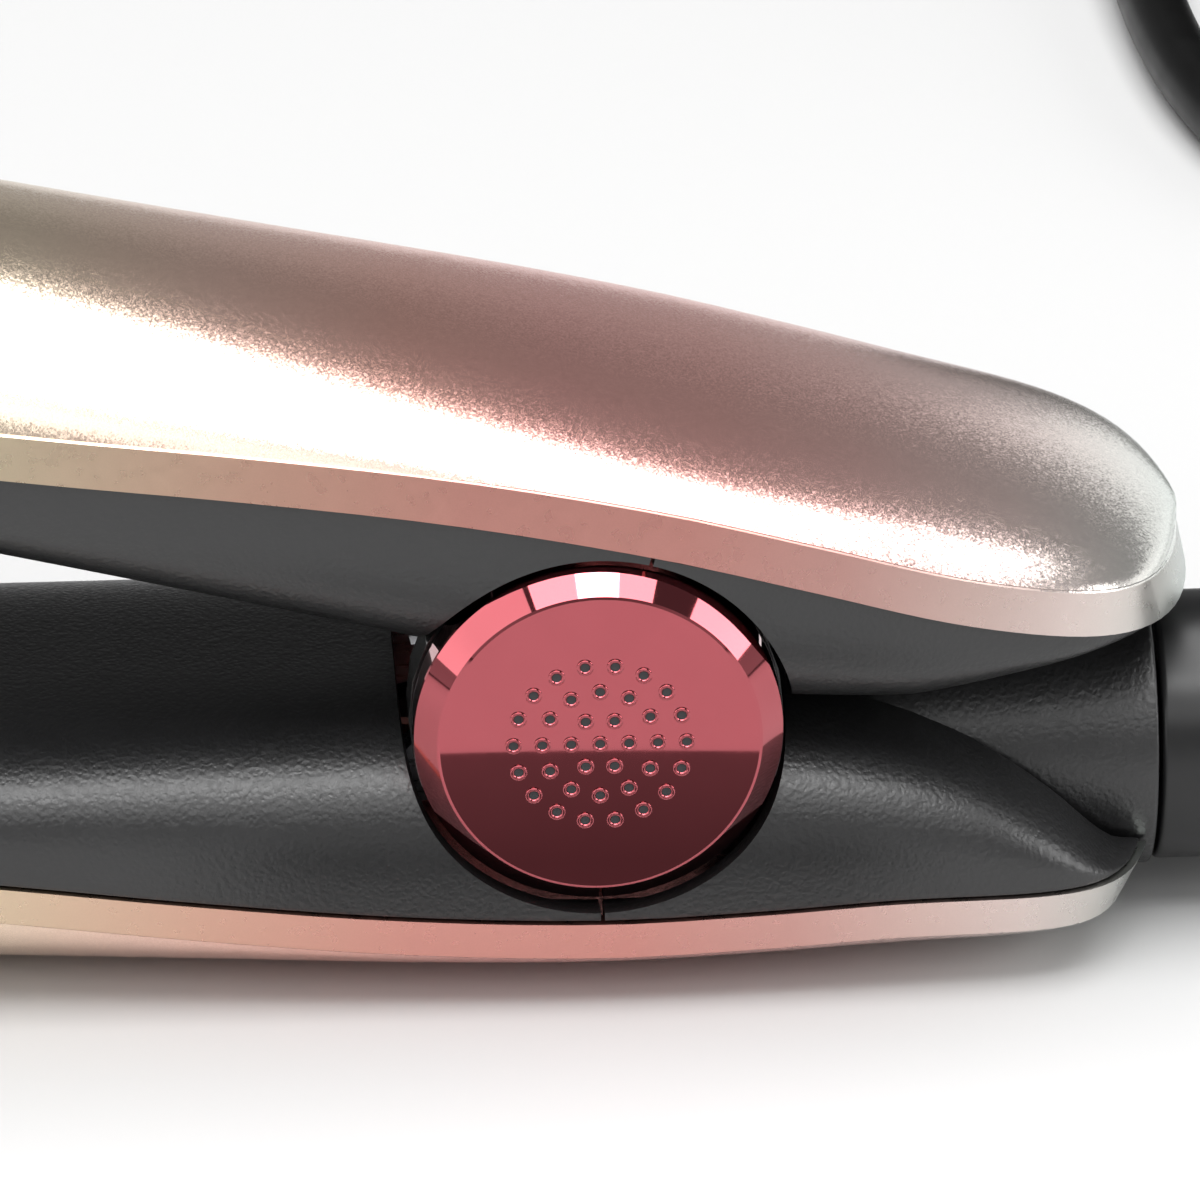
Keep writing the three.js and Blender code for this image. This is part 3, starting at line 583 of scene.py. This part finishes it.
BOARD = circuit_board()
CLEAR = light_guide()
STRAP = woven("woven_strap", (0.02, 0.02, 0.02))


# ---- arm shells ----
CROWN_STEPS = 44
REAR_SLOPE = 1.7                  # how far the shoulder leans in at the rounded rear end
LEDGE = 0.2                       # the band's lip stands this proud of the crown
CROWN_START = math.radians(12)    # the crown is this much less than a half ellipse at each side


def shell_section(x, wall, side):
    """Half-open section from the right rim over the crown to the left rim."""
    share = end_share(x, wall, side)
    width = (body_width(x) - wall) * share
    rim = rim_z(x)
    lean = min(BAND_LEAN, width * 0.5)
    lip = min(LEDGE, width * 0.1) if wall == 0 else 0
    shoulder = rim + BAND_HEIGHT - wall * 0.4
    rise = (crown_z(x) - wall - shoulder) * share ** CROWN_HOLD
    rear = max(0, (x - REAR_ROUND_X) / (REAR_X - wall - REAR_ROUND_X))
    back = REAR_SLOPE * rear ** 4
    half = [(x, width, rim)]
    if wall == 0:
        half.append((x - back * 0.96, width - lean * 0.96 + lip, shoulder - 0.12))
        half.append((x - back * 0.98, width - lean + lip * 0.7, shoulder - 0.02))
    ring = list(half)
    low = math.sin(CROWN_START)
    for i in range(CROWN_STEPS + 1):
        angle = CROWN_START + (math.pi - 2 * CROWN_START) * i / CROWN_STEPS
        across = (width - lean) * math.cos(angle) / math.cos(CROWN_START)
        ring.append((x - back, across, shoulder + rise * (math.sin(angle) - low) / (1 - low)))
    return ring + [(px, -py, pz) for px, py, pz in reversed(half)]


def shell(side):
    """A painted cover with a real wall, its outside in two paints."""
    outer, inner = stations(None, None), stations(None, None, SHELL_WALL)
    rings = [shell_section(a, 0, side) + shell_section(b, SHELL_WALL, side)[::-1]
             for a, b in zip(outer, inner)]
    points, faces = loft(rings, True, True)
    obj = new_mesh(f"{side}_shell_cover", points, faces, arm_matrix(side), side == "lower")
    if side == "lower":
        room = new_mesh("room", *lathe([(BOSS_CLEAR_X - GAP, 0), (BOSS_CLEAR_X - GAP, BOSS_RADIUS + GAP),
                                        (60, BOSS_RADIUS + GAP), (60, 0)]), SWIVEL_MATRIX)
        combine(obj, room)
    sign = -1 if side == "lower" else 1
    for face in obj.data.polygons:
        x, _, z = face.center / MM
        # the band ends at the upper row of its lip
        face.material_index = 1 if sign * z < rim_z(x) + BAND_HEIGHT - 0.06 else 0
    soften(obj, 12)
    return finish(obj, f"{side}_arm", "paint", (PAINT, BAND), f"{side}_shell")


for SIDE in ("upper", "lower"):
    shell(SIDE)


# ---- housings ----
SIDE_STEPS = 56
SIDE_INSET = 0.35                 # how far a housing stays inside its shell's outline at the sides
END_INSET = 0.5                   # and at the ends
TUCK_SLOPE = REAR_SLOPE + 0.8     # the tucked edges keep clear of the shell's leaning rear end


def housing_section(x, inset, side):
    """Open section from one tucked edge round the inner face to the other."""
    share = end_share(x, END_INSET + inset, side)
    width = (body_width(x) - SIDE_INSET - inset) * share
    rim = rim_z(x) - GAP * 0.6
    face = min(face_z[side](x) + inset, rim - 0.3)
    neck = max(width - SHELL_WALL - GAP, width * 0.5)
    top = rim + TUCK
    tuck_x = x - TUCK_SLOPE * max(0, (x - REAR_ROUND_X) / (REAR_X - REAR_ROUND_X)) ** 4
    ring = [(tuck_x, neck, top), (x, neck, rim)]
    for i in range(SIDE_STEPS + 1):
        angle = math.pi * i / SIDE_STEPS
        across = math.copysign(abs(math.cos(angle)) ** (2 / SIDE_POWER), math.cos(angle))
        depth = abs(math.sin(angle)) ** (2 / SIDE_POWER)
        ring.append((x, width * across, rim - (rim - face) * depth))
    return ring + [(x, -neck, rim), (tuck_x, -neck, top)]


def housing_body(name, side, start, end):
    """A walled housing between two places along the arm, with the round pockets for the discs."""
    outer = stations(start, end, END_INSET)
    inner = stations(start, end, END_INSET + HOUSING_WALL)
    rings = [housing_section(a, 0, side) + housing_section(b, HOUSING_WALL, side)[::-1]
             for a, b in zip(outer, inner)]
    points, faces = loft(rings, start is None, end is None)
    obj = new_mesh(name, points, faces, arm_matrix(side), side == "lower")
    recess = lathe([(-30, 0), (-30, RECESS_RADIUS), (30, RECESS_RADIUS), (30, 0)], "Y")
    return combine(obj, new_mesh("recess", *recess, PIN_MATRIX))


def front_housing(side):
    obj = housing_body(f"{side}_front_cover", side, None, -GAP / 2)
    place, flip = arm_matrix(side), side == "lower"
    window = box_mesh((PLATE_X - PLATE_LENGTH / 2 - 1.3, -PLATE_WIDTH / 2 - 0.8, -2),
                      (PLATE_X + PLATE_LENGTH / 2 + 1.3, PLATE_WIDTH / 2 + 0.8, 6))
    combine(obj, new_mesh("window", *window, place, flip))
    if side == "upper":
        for (length, width), x in ((BUTTON_SIZE, BUTTON_X), (LIGHT_SIZE, LIGHT_X)):
            hole = capsule(length + 2 * GAP, width + 2 * GAP, -1, 5, x)
            combine(obj, new_mesh("hole", *hole, place, flip))
    soften(obj, 32, weighted=True)
    return finish(obj, f"{side}_arm", "soft_black", GRAINED, f"{side}_front_housing")


def rear_housing(side):
    name = f"{side}_rear_cover"
    obj = housing_body(name, side, GAP / 2, None)
    # the boss's channel; the upper arm swings over the boss, so it keeps further off
    radius = BOSS_RADIUS + (0.5 if side == "upper" else GAP)
    room = lathe([(-2, 0), (-2, radius), (60, radius), (60, 0)])
    combine(obj, new_mesh("room", *room, SWIVEL_MATRIX))
    soften(obj, 32, weighted=True)
    nodes = {
        "upper": ["upper_rear_housing"],
        "lower": ["lower_rear_housing_left", "lower_rear_housing_right"],
    }[side]
    return finish(obj, f"{side}_arm", "soft_black", GRAINED, *nodes)


for SIDE in ("upper", "lower"):
    front_housing(SIDE)
    rear_housing(SIDE)


# ---- hinge discs: bevelled, with a ring pattern of small studs ----
STUD_RADIUS = 0.62
STUD_RINGS = ((1, 0.0), (6, 2.1), (12, 4.2), (18, 6.3))    # studs in each ring, and its radius


def hinge_disc(name, sign):
    """One polished disc, its studs and their dark cores. sign is the side of the arm it is on."""
    edge = 0.12                   # the disc's corners are broken by this much
    profile = [(DISC_INNER_Y, 0), (DISC_INNER_Y, DISC_RADIUS - edge), (DISC_INNER_Y + edge, DISC_RADIUS),
               (DISC_FACE_Y - DISC_BEVEL - edge, DISC_RADIUS),
               (DISC_FACE_Y - DISC_BEVEL + edge * 0.6, DISC_RADIUS - edge * 0.6),
               (DISC_FACE_Y - edge * 0.7, DISC_RADIUS - DISC_BEVEL + edge * 0.7),
               (DISC_FACE_Y, DISC_RADIUS - DISC_BEVEL - edge), (DISC_FACE_Y, 0)]
    points, faces = lathe([(sign * y, r) for y, r in profile], "Y", 192)
    obj = new_mesh(f"hinge_disc_cover_{name}", points, faces, PIN_MATRIX)
    soften(obj, 20)
    finish(obj, "lower_arm", "rose_metal", ROSE, f"hinge_disc_{name}")
    stud_profile = [(0, STUD_RADIUS), (0.1, STUD_RADIUS), (0.16, 0.56), (0.17, 0.48), (0.13, 0.4), (0.05, 0.34)]
    core_profile = [(0.04, 0.36), (0.06, 0.3), (0.03, 0.15), (0.02, 0.0)]
    for part, profile, look in (("studs", stud_profile, ROSE), ("stud_cores", core_profile, CARRIER)):
        points, faces = [], []
        for count, radius in STUD_RINGS:
            for i in range(count):
                angle = 2 * math.pi * i / count
                ps, fs = lathe([(sign * (DISC_FACE_Y + h), r) for h, r in profile], "Y", 24)
                x, z = radius * math.cos(angle), radius * math.sin(angle)
                faces += [tuple(k + len(points) for k in f) for f in fs]
                points += [(px + x, py, pz + z) for px, py, pz in ps]
        studs = new_mesh(f"hinge_disc_{part}_{name}", points, faces, PIN_MATRIX)
        soften(studs, 40)
        finish(studs, "lower_arm", "rose_metal", look)


hinge_disc("left", -1)
hinge_disc("right", 1)


# ---- swivel boss, ring, collar and strain relief ----
def rounded(profile, radius, steps=4):
    """A profile with its inner corners rounded off."""
    out = [profile[0]]
    for before, here, after in zip(profile, profile[1:], profile[2:]):
        here, before, after = Vector(here), Vector(before), Vector(after)
        reach = min(radius, (before - here).length * 0.45, (after - here).length * 0.45)
        a = here + (before - here).normalized() * reach
        b = here + (after - here).normalized() * reach
        for i in range(steps + 1):
            t = i / steps
            out.append(tuple((1 - t) ** 2 * a + 2 * t * (1 - t) * here + t * t * b))
    return out + [profile[-1]]


BOSS_WAIST_X = 28
BOSS_FLARE = 0.45                 # how far the boss widens from its waist to its end


def swivel_boss():
    """The hollow boss, less the lower shell's wall, which passes through it at the rear."""
    waist = BOSS_RADIUS - BOSS_FLARE
    flare = [(BOSS_WAIST_X + (BOSS_END_X - BOSS_WAIST_X) * i / 10, waist + BOSS_FLARE * (i / 10) ** 2)
             for i in range(11)]
    profile = rounded([(9, 3), (9, 8.4), (13, waist)] + flare + [(BOSS_END_X, RING_SEAT_RADIUS)], 0.4)
    profile += [(RING_SEAT_X, RING_SEAT_RADIUS), (RING_SEAT_X, RING_BORE), (36, RING_BORE), (36, 7.6),
                (13, 7.6), (13, 3)]
    obj = new_mesh("swivel_boss_cover", *lathe(profile, closed=True), SWIVEL_MATRIX)
    outer = stations(-12, None, -GAP)
    inner = stations(-12, None, SHELL_WALL + GAP)
    rings = [shell_section(a, -GAP, "lower") + shell_section(b, SHELL_WALL + GAP, "lower")[::-1]
             for a, b in zip(outer, inner)]
    wall = new_mesh("wall", *loft(rings, False, True), arm_matrix("lower"), True)
    ahead = box_mesh((-30, -30, -60), (BOSS_CLEAR_X, 30, 10))
    combine(wall, new_mesh("ahead", *ahead, PIN_MATRIX), "INTERSECT")
    combine(obj, wall)
    soften(obj, 30)
    return finish(obj, "lower_arm", "soft_black", GRAINED, "swivel_boss")


def turned(name, profile, body, look, node, slot="soft_black", closed=False):
    """A finished piece turned about the swivel's axis."""
    obj = new_mesh(name, *lathe(profile, closed=closed), SWIVEL_MATRIX)
    soften(obj, 35)
    return finish(obj, body, slot, look, node)


swivel_boss()
gap_ring = rounded([(41.5, RING_BORE), (41.5, 9.3), (BOSS_END_X, 9.3), (BOSS_END_X, RING_BORE)], 0.15)
turned("swivel_gap_ring", gap_ring, "lower_arm", GLOSS, "swivel_ring", "gloss_black", True)
COLLAR_X = BOSS_END_X + GAP
collar_outside = [(COLLAR_X, 4.8), (COLLAR_X, SWIVEL_RADIUS), (56, SWIVEL_RADIUS), (60, 9.2), (62.6, 7.6),
                  (64, 6.6), (64, 2.2)]
collar = [(27, 2.2), (27, 4.8)] + rounded(collar_outside, 0.5)
turned("swivel_collar_cover", collar, "lead", SATIN, "swivel_collar", closed=True)


def strain_relief():
    """A tapered sleeve with flexing ribs round the lead."""
    def radius(x):
        return 6.3 - 2.3 * (x - RELIEF_START_X) / (RELIEF_END_X - RELIEF_START_X)
    profile = [(RELIEF_START_X, 0), (RELIEF_START_X, radius(RELIEF_START_X))]
    depth = 0.9
    for i in range(5):
        x = RELIEF_START_X + 6 + 5 * i
        top = radius(x)
        profile += [(x, top), (x + 0.4, top - depth), (x + 1.4, top - depth), (x + 1.8, top)]
    profile += [(RELIEF_END_X - 0.8, 4), (RELIEF_END_X, 3.5), (RELIEF_END_X, 0)]
    return turned("strain_relief_sleeve", rounded(profile, 0.25), "lead", RUBBER, "strain_relief")


strain_relief()

# ---- mains lead: down to the surface, round in an S, then wound into a tied coil ----
LYING_Z = FLOOR_Z + CORD_DIAMETER / 2
LEAD_ROUTE = [
    (RELIEF_END_X + GAP, 0, SWIVEL_Z), (118, 0.3, -10.9), (130, 1.8, -13.6), (142, 6, -17.2),
    (153, 14, -19.5), (160, 25, LYING_Z), (162.5, 38, LYING_Z), (160.5, 51, LYING_Z),
    (154, 64, LYING_Z), (143, 75, LYING_Z), (129, 83, LYING_Z), (114, 89, LYING_Z),
    (99, 95.5, LYING_Z), (85, 104, LYING_Z), (74, 115, LYING_Z), (66.5, 128.5, LYING_Z),
    (62.6, 143, LYING_Z), (61, 158, LYING_Z), (60.6, 173, LYING_Z + 0.5), (60.7, 188.4, LYING_Z + 1.1),
]
COIL_TOP = FLOOR_Z + COIL_LIFT + COIL_ROWS * CORD_DIAMETER
PLUG_BOTTOM = COIL_TOP + GAP
PLUG_AXIS_Z = PLUG_BOTTOM + PLUG_HALF_HEIGHT
PLUG_TAIL_Y = -17.8
PLUG_FRONT_Y = 15
PLUG_X = COIL_CENTRE[0] - 22
PLUG_Y = COIL_CENTRE[1] + 6
TAIL_BEND = 4 * CORD_DIAMETER
TAIL_Z = COIL_TOP + CORD_DIAMETER / 2 + GAP
SHIFT_TURN = 96                   # degrees over which the lead moves to its next place in the coil
CLIMB_TURN = 80                   # and over which it climbs to the next row


def ease(t):
    t = min(max(t, 0), 1)
    return t * t * (3 - 2 * t)


def coil_moves():
    """Places in the coil in winding order, with the turn angles at which the lead moves between them.
    Each row starts its moves a little earlier than the last, so that the lead never meets itself."""
    places = []
    for row in range(COIL_ROWS):
        radii = COIL_RADII if row % 2 == 0 else COIL_RADII[::-1]
        places += [(r, LYING_Z + COIL_LIFT + row * CORD_DIAMETER) for r in radii]
    moves, early = [], 0
    for k in range(1, len(places)):
        climbs = k % len(COIL_RADII) == 0
        if climbs:
            start = 360 * k - early - CLIMB_TURN
            moves.append((start, CLIMB_TURN))
            early += CLIMB_TURN + SHIFT_TURN
        else:
            moves.append((360 * k - early, SHIFT_TURN))
    return places, moves


def coil_points():
    """The coil's centre line, from where the route reaches it to where the tail leaves."""
    places, moves = coil_moves()
    settled = moves[-1][0] + SHIFT_TURN
    end = 270 + 360 * math.ceil((settled + CLIMB_TURN - 270) / 360)    # in front, where the tail starts
    top = places[-1][1]
    points = []
    step = 12
    for angle in range(step, end, step):
        radius, z = places[0]
        for (start, reach), before, after in zip(moves, places, places[1:]):
            share = ease((angle - start) / reach)
            radius += (after[0] - before[0]) * share
            z += (after[1] - before[1]) * share
        z += (TAIL_Z - top) * ease((angle - end + CLIMB_TURN) / CLIMB_TURN)
        around = math.radians(180 - angle)
        points.append((COIL_CENTRE[0] + radius * math.cos(around),
                       COIL_CENTRE[1] + radius * math.sin(around), z))
    return points


def tail_points():
    """A quarter turn from the coil's top row up to the plug's tail."""
    points = []
    for i in range(9):
        angle = math.pi * (1.5 - 0.5 * i / 8)
        lift = 0.5 - 0.5 * math.cos(math.pi * i / 8)
        points.append((PLUG_X + TAIL_BEND * (1 + math.cos(angle)),
                       PLUG_Y + PLUG_TAIL_Y - 3 + TAIL_BEND * math.sin(angle),
                       TAIL_Z + (PLUG_AXIS_Z - TAIL_Z) * lift))
    return points + [(PLUG_X, PLUG_Y + PLUG_TAIL_Y - GAP, PLUG_AXIS_Z)]


def catmull(points, steps):
    """A smooth curve through the points, as many steps to each span."""
    out = []
    ends = [points[0] * 2 - points[1]] + points + [points[-1] * 2 - points[-2]]
    for a, b, c, d in zip(ends, ends[1:], ends[2:], ends[3:]):
        for i in range(steps):
            t = i / steps
            out.append(0.5 * (2 * b + (c - a) * t + (2 * a - 5 * b + 4 * c - d) * t * t
                              + (3 * b - a - 3 * c + d) * t ** 3))
    return out + [points[-1]]


def cord():
    """The lead, from the strain relief to the plug, as one swept curve."""
    route = [Vector(p) for p in LEAD_ROUTE + coil_points() + tail_points()]
    line = catmull(route, 3)
    curve = bpy.data.curves.new("mains_lead", "CURVE")
    curve.dimensions = "3D"
    curve.bevel_depth = CORD_DIAMETER / 2 * MM
    curve.bevel_resolution = 5
    curve.use_fill_caps = True
    spline = curve.splines.new("POLY")
    spline.points.add(len(line) - 1)
    for point, place in zip(spline.points, line):
        point.co = (*((place + PIN) * MM), 1)
    spline.use_smooth = True
    obj = bpy.data.objects.new("mains_lead", curve)
    bpy.context.scene.collection.objects.link(obj)
    finish(obj, "lead", "lead_jacket", JACKET, "cord_lead", "cord_coil", "cord_tail")


def strap():
    """A flat woven strap round the coil's section."""
    width, wall = 12, 0.8
    inner = math.sqrt((COIL_RADII[-1] - CORD_DIAMETER / 2) ** 2 - (width / 2) ** 2) - GAP
    outer = COIL_RADII[0] + CORD_DIAMETER / 2 + GAP
    low, high = FLOOR_Z + COIL_LIFT - GAP, COIL_TOP + GAP
    round_off = 2.2
    steps = 16
    corners = ((outer, high, 1, 1), (inner, high, -1, 1), (inner, low, -1, -1), (outer, low, 1, -1))
    rings = []
    for quarter, (corner_x, corner_z, sign_x, sign_z) in enumerate(corners):
        middle_x, middle_z = corner_x - sign_x * round_off, corner_z - sign_z * round_off
        for i in range(steps):
            angle = math.pi / 2 * (quarter + i / (steps - 1))
            ring = []
            for half, out in ((-1, 0), (1, 0), (1, wall), (-1, wall)):
                radius = round_off + out
                ring.append((middle_x + radius * math.cos(angle), half * width / 2,
                             middle_z + radius * math.sin(angle)))
            rings.append(ring)
    points, faces = loft(rings + [rings[0]], True, True)
    place = Matrix.Translation((PIN + Vector((COIL_CENTRE[0], COIL_CENTRE[1], 0))) * MM)
    obj = new_mesh("coil_strap", points, faces, place)
    soften(obj, 40, bevel=0.2)
    return finish(obj, "lead", "strap", STRAP, "cord_tie")


def plug():
    """A slim two-pin plug with a waisted, rounded body and finger grooves."""
    power = 0.55                  # how square its section is
    sides, steps = 64, 60
    rings = []
    width_at = smooth([(-17.8, 3.9), (-12, 5.4), (-3, 11.5), (4, 16), (9, 17), (13.6, 17), (15, 15.6)])
    height_at = smooth([(-17.8, 3.9), (-12, 4.6), (-3, 6.2), (4, 6.8), (9, 6.8), (13.6, 6.8), (15, 5.9)])
    for i in range(steps + 1):
        y = PLUG_TAIL_Y + (PLUG_FRONT_Y - PLUG_TAIL_Y) * i / steps
        groove = 0.35 * max(0, math.sin(2 * math.pi * (y + 1) / 3.2)) if -1 < y < 8.5 else 0
        width, height = width_at(y) - groove, min(height_at(y), PLUG_HALF_HEIGHT)
        ring = []
        for j in range(sides):
            angle = 2 * math.pi * j / sides
            cx, cz = math.cos(angle), math.sin(angle)
            ring.append((width * math.copysign(abs(cx) ** power, cx), y,
                         height * math.copysign(abs(cz) ** power, cz)))
        rings.append(ring)
    place = Matrix.Translation((PIN + Vector((PLUG_X, PLUG_Y, PLUG_AXIS_Z))) * MM)
    obj = new_mesh("plug_cover", *loft(rings), place)
    soften(obj, 40)
    return finish(obj, "lead", "soft_black", RUBBER, "plug_body")


strap()
plug()
cord()


# ---- CAD nodes that stay: a material each, and soft edges ----
KEPT = {
    "plate": COATING, "plate_carrier": CARRIER, "ceramic_heater": CERAMIC, "temperature_sensor": BRASS,
    "cushion_front": SILICONE, "cushion_rear": SILICONE, "cushion_shelf": CARRIER,
    "bracket_screw_1": STEEL, "bracket_screw_2": STEEL, "heater_lead": WIRE, "hinge_bracket": STEEL,
    "control_board": BOARD, "supply_board": BOARD, "button_switch": GLOSS, "status_light_guide": CLEAR,
    "sounder": GLOSS, "power_button": GLOSS, "thermal_fuse": CERAMIC, "hinge_hub_left": GLOSS,
    "hinge_hub_right": GLOSS, "hinge_bush_left": BRASS, "hinge_bush_right": BRASS, "hinge_pin": STEEL,
    "hinge_spring": STEEL, "contact_carrier": CARRIER, "contact_pin": BRASS, "swivel_clip": STEEL,
    "plug_pin_left": BRASS, "plug_pin_right": BRASS,
}
for node_name, node in frame["nodes"].items():
    short = node_name.removeprefix("upper_").removeprefix("lower_")
    look = KEPT.get(node_name) or KEPT.get(short)
    if look is None:
        continue
    node.data.materials.clear()
    node.data.materials.append(look)
    soften(node, 35, bevel=0.25 if short in ("plate", "power_button") else 0)


# ---- studio: a pale floor, soft lights above and on three sides, and a dark card by the disc ----
FLOOR_REACH = 4                   # metres


def floor():
    look = Look("studio_floor", Roughness=0.75)
    look.shader.inputs["Specular IOR Level"].default_value = 0.1
    tone = look.noise(400, 2)
    look.put("Base Color", look.mix(tone.outputs["Fac"], (0.53, 0.53, 0.53), (0.55, 0.55, 0.55)))
    mesh = bpy.data.meshes.new("floor")
    corners = [(FLOOR_REACH * x, FLOOR_REACH * y, 0) for x, y in ((-1, -1), (1, -1), (1, 1), (-1, 1))]
    mesh.from_pydata(corners, [], [(0, 1, 2, 3)])
    obj = bpy.data.objects.new("floor", mesh)
    mesh.materials.append(look.material)
    bpy.context.scene.collection.objects.link(obj)


def softbox(name, azimuth, elevation, distance, size, radiance):
    """A rectangular light that faces the pin. Azimuth 0 is in front of the iron, 90 at its rear."""
    width, height = size
    data = bpy.data.lights.new(name, "AREA")
    data.shape = "RECTANGLE"
    data.size, data.size_y = width, height
    data.energy = radiance * math.pi * width * height
    light = bpy.data.objects.new(name, data)
    bpy.context.scene.collection.objects.link(light)
    a, e = math.radians(azimuth), math.radians(elevation)
    way = Vector((math.sin(a) * math.cos(e), -math.cos(a) * math.cos(e), math.sin(e)))
    light.location = PIN * MM + way * distance
    light.rotation_euler = way.to_track_quat("Z", "Y").to_euler()
    return light


def world():
    """Grey surroundings, darker high up, and dimmed behind the iron."""
    made = bpy.data.worlds.new("studio")
    made.use_nodes = True
    tree = made.node_tree
    tree.nodes.clear()
    place = tree.nodes.new("ShaderNodeTexCoord")
    split = tree.nodes.new("ShaderNodeSeparateXYZ")
    ramp = tree.nodes.new("ShaderNodeValToRGB")
    shade = tree.nodes.new("ShaderNodeBackground")
    out = tree.nodes.new("ShaderNodeOutputWorld")
    tree.links.new(place.outputs["Generated"], split.inputs[0])
    tree.links.new(split.outputs["Z"], ramp.inputs[0])
    behind = tree.nodes.new("ShaderNodeMapRange")
    behind.inputs["From Min"].default_value, behind.inputs["From Max"].default_value = -0.2, 0.8
    behind.inputs["To Min"].default_value, behind.inputs["To Max"].default_value = 1, 0.6
    tree.links.new(split.outputs[1], behind.inputs["Value"])
    tree.links.new(behind.outputs[0], shade.inputs[1])
    tree.links.new(ramp.outputs[0], shade.inputs[0])
    tree.links.new(shade.outputs[0], out.inputs[0])
    stops = [(0.0, 0.5), (0.2, 0.42), (0.4, 0.13), (1.0, 0.13)]
    while len(ramp.color_ramp.elements) < len(stops):
        ramp.color_ramp.elements.new(0.5)
    for element, (position, tone) in zip(ramp.color_ramp.elements, stops):
        element.position = position
        element.color = (tone, tone, tone, 1)
    bpy.context.scene.world = made


def reflection_flag():
    """A small dark card in front of the near disc, seen only by reflections."""
    look = Look("flag")
    shade = look.tree.nodes.new("ShaderNodeEmission")
    tone = look.ramp(look.axis("Z", -20, -9), [(0, (0.15, 0.15, 0.15)), (1, (0.26, 0.26, 0.26))])
    look.link(tone, shade.inputs[0])
    look.link(shade.outputs[0], look.output.inputs[0])
    reach, distance = 26, 40
    corners = [(-reach, 0, FLOOR_Z), (reach, 0, FLOOR_Z)]
    top = [(reach - 2 * reach * i / 24, 0, -11.6 + 1.1 * math.cos(math.pi * (16 - i) / 30))
           for i in range(25)]
    place = Matrix.Translation((PIN + Vector((0, -distance, 0))) * MM)
    obj = new_mesh("flag", corners + top, [tuple(range(len(corners) + len(top)))], place)
    obj.data.materials.append(look.material)
    for ray in ("camera", "diffuse", "transmission", "shadow", "volume_scatter"):
        setattr(obj, "visible_" + ray, False)


floor()
world()
reflection_flag()
softbox("overhead_softbox", 0, 90, 1.0, (1.2, 1.2), 4.6).location.y -= 0.12
softbox("front_softbox", 0, 37, 1.2, (1.2, 0.46), 1.7)
softbox("left_softbox", -64, 28, 1.2, (0.9, 0.95), 1.9)
softbox("right_softbox", 73, 22, 1.2, (0.53, 0.6), 4.5)
softbox("hot_strip", 5, 63, 0.9, (0.3, 0.05), 13)
softbox("rear_glow", 126, 12, 0.4, (0.5, 0.14), 0.7)

bpy.context.scene.view_settings.view_transform = "Standard"
bpy.context.scene.view_settings.look = "None"
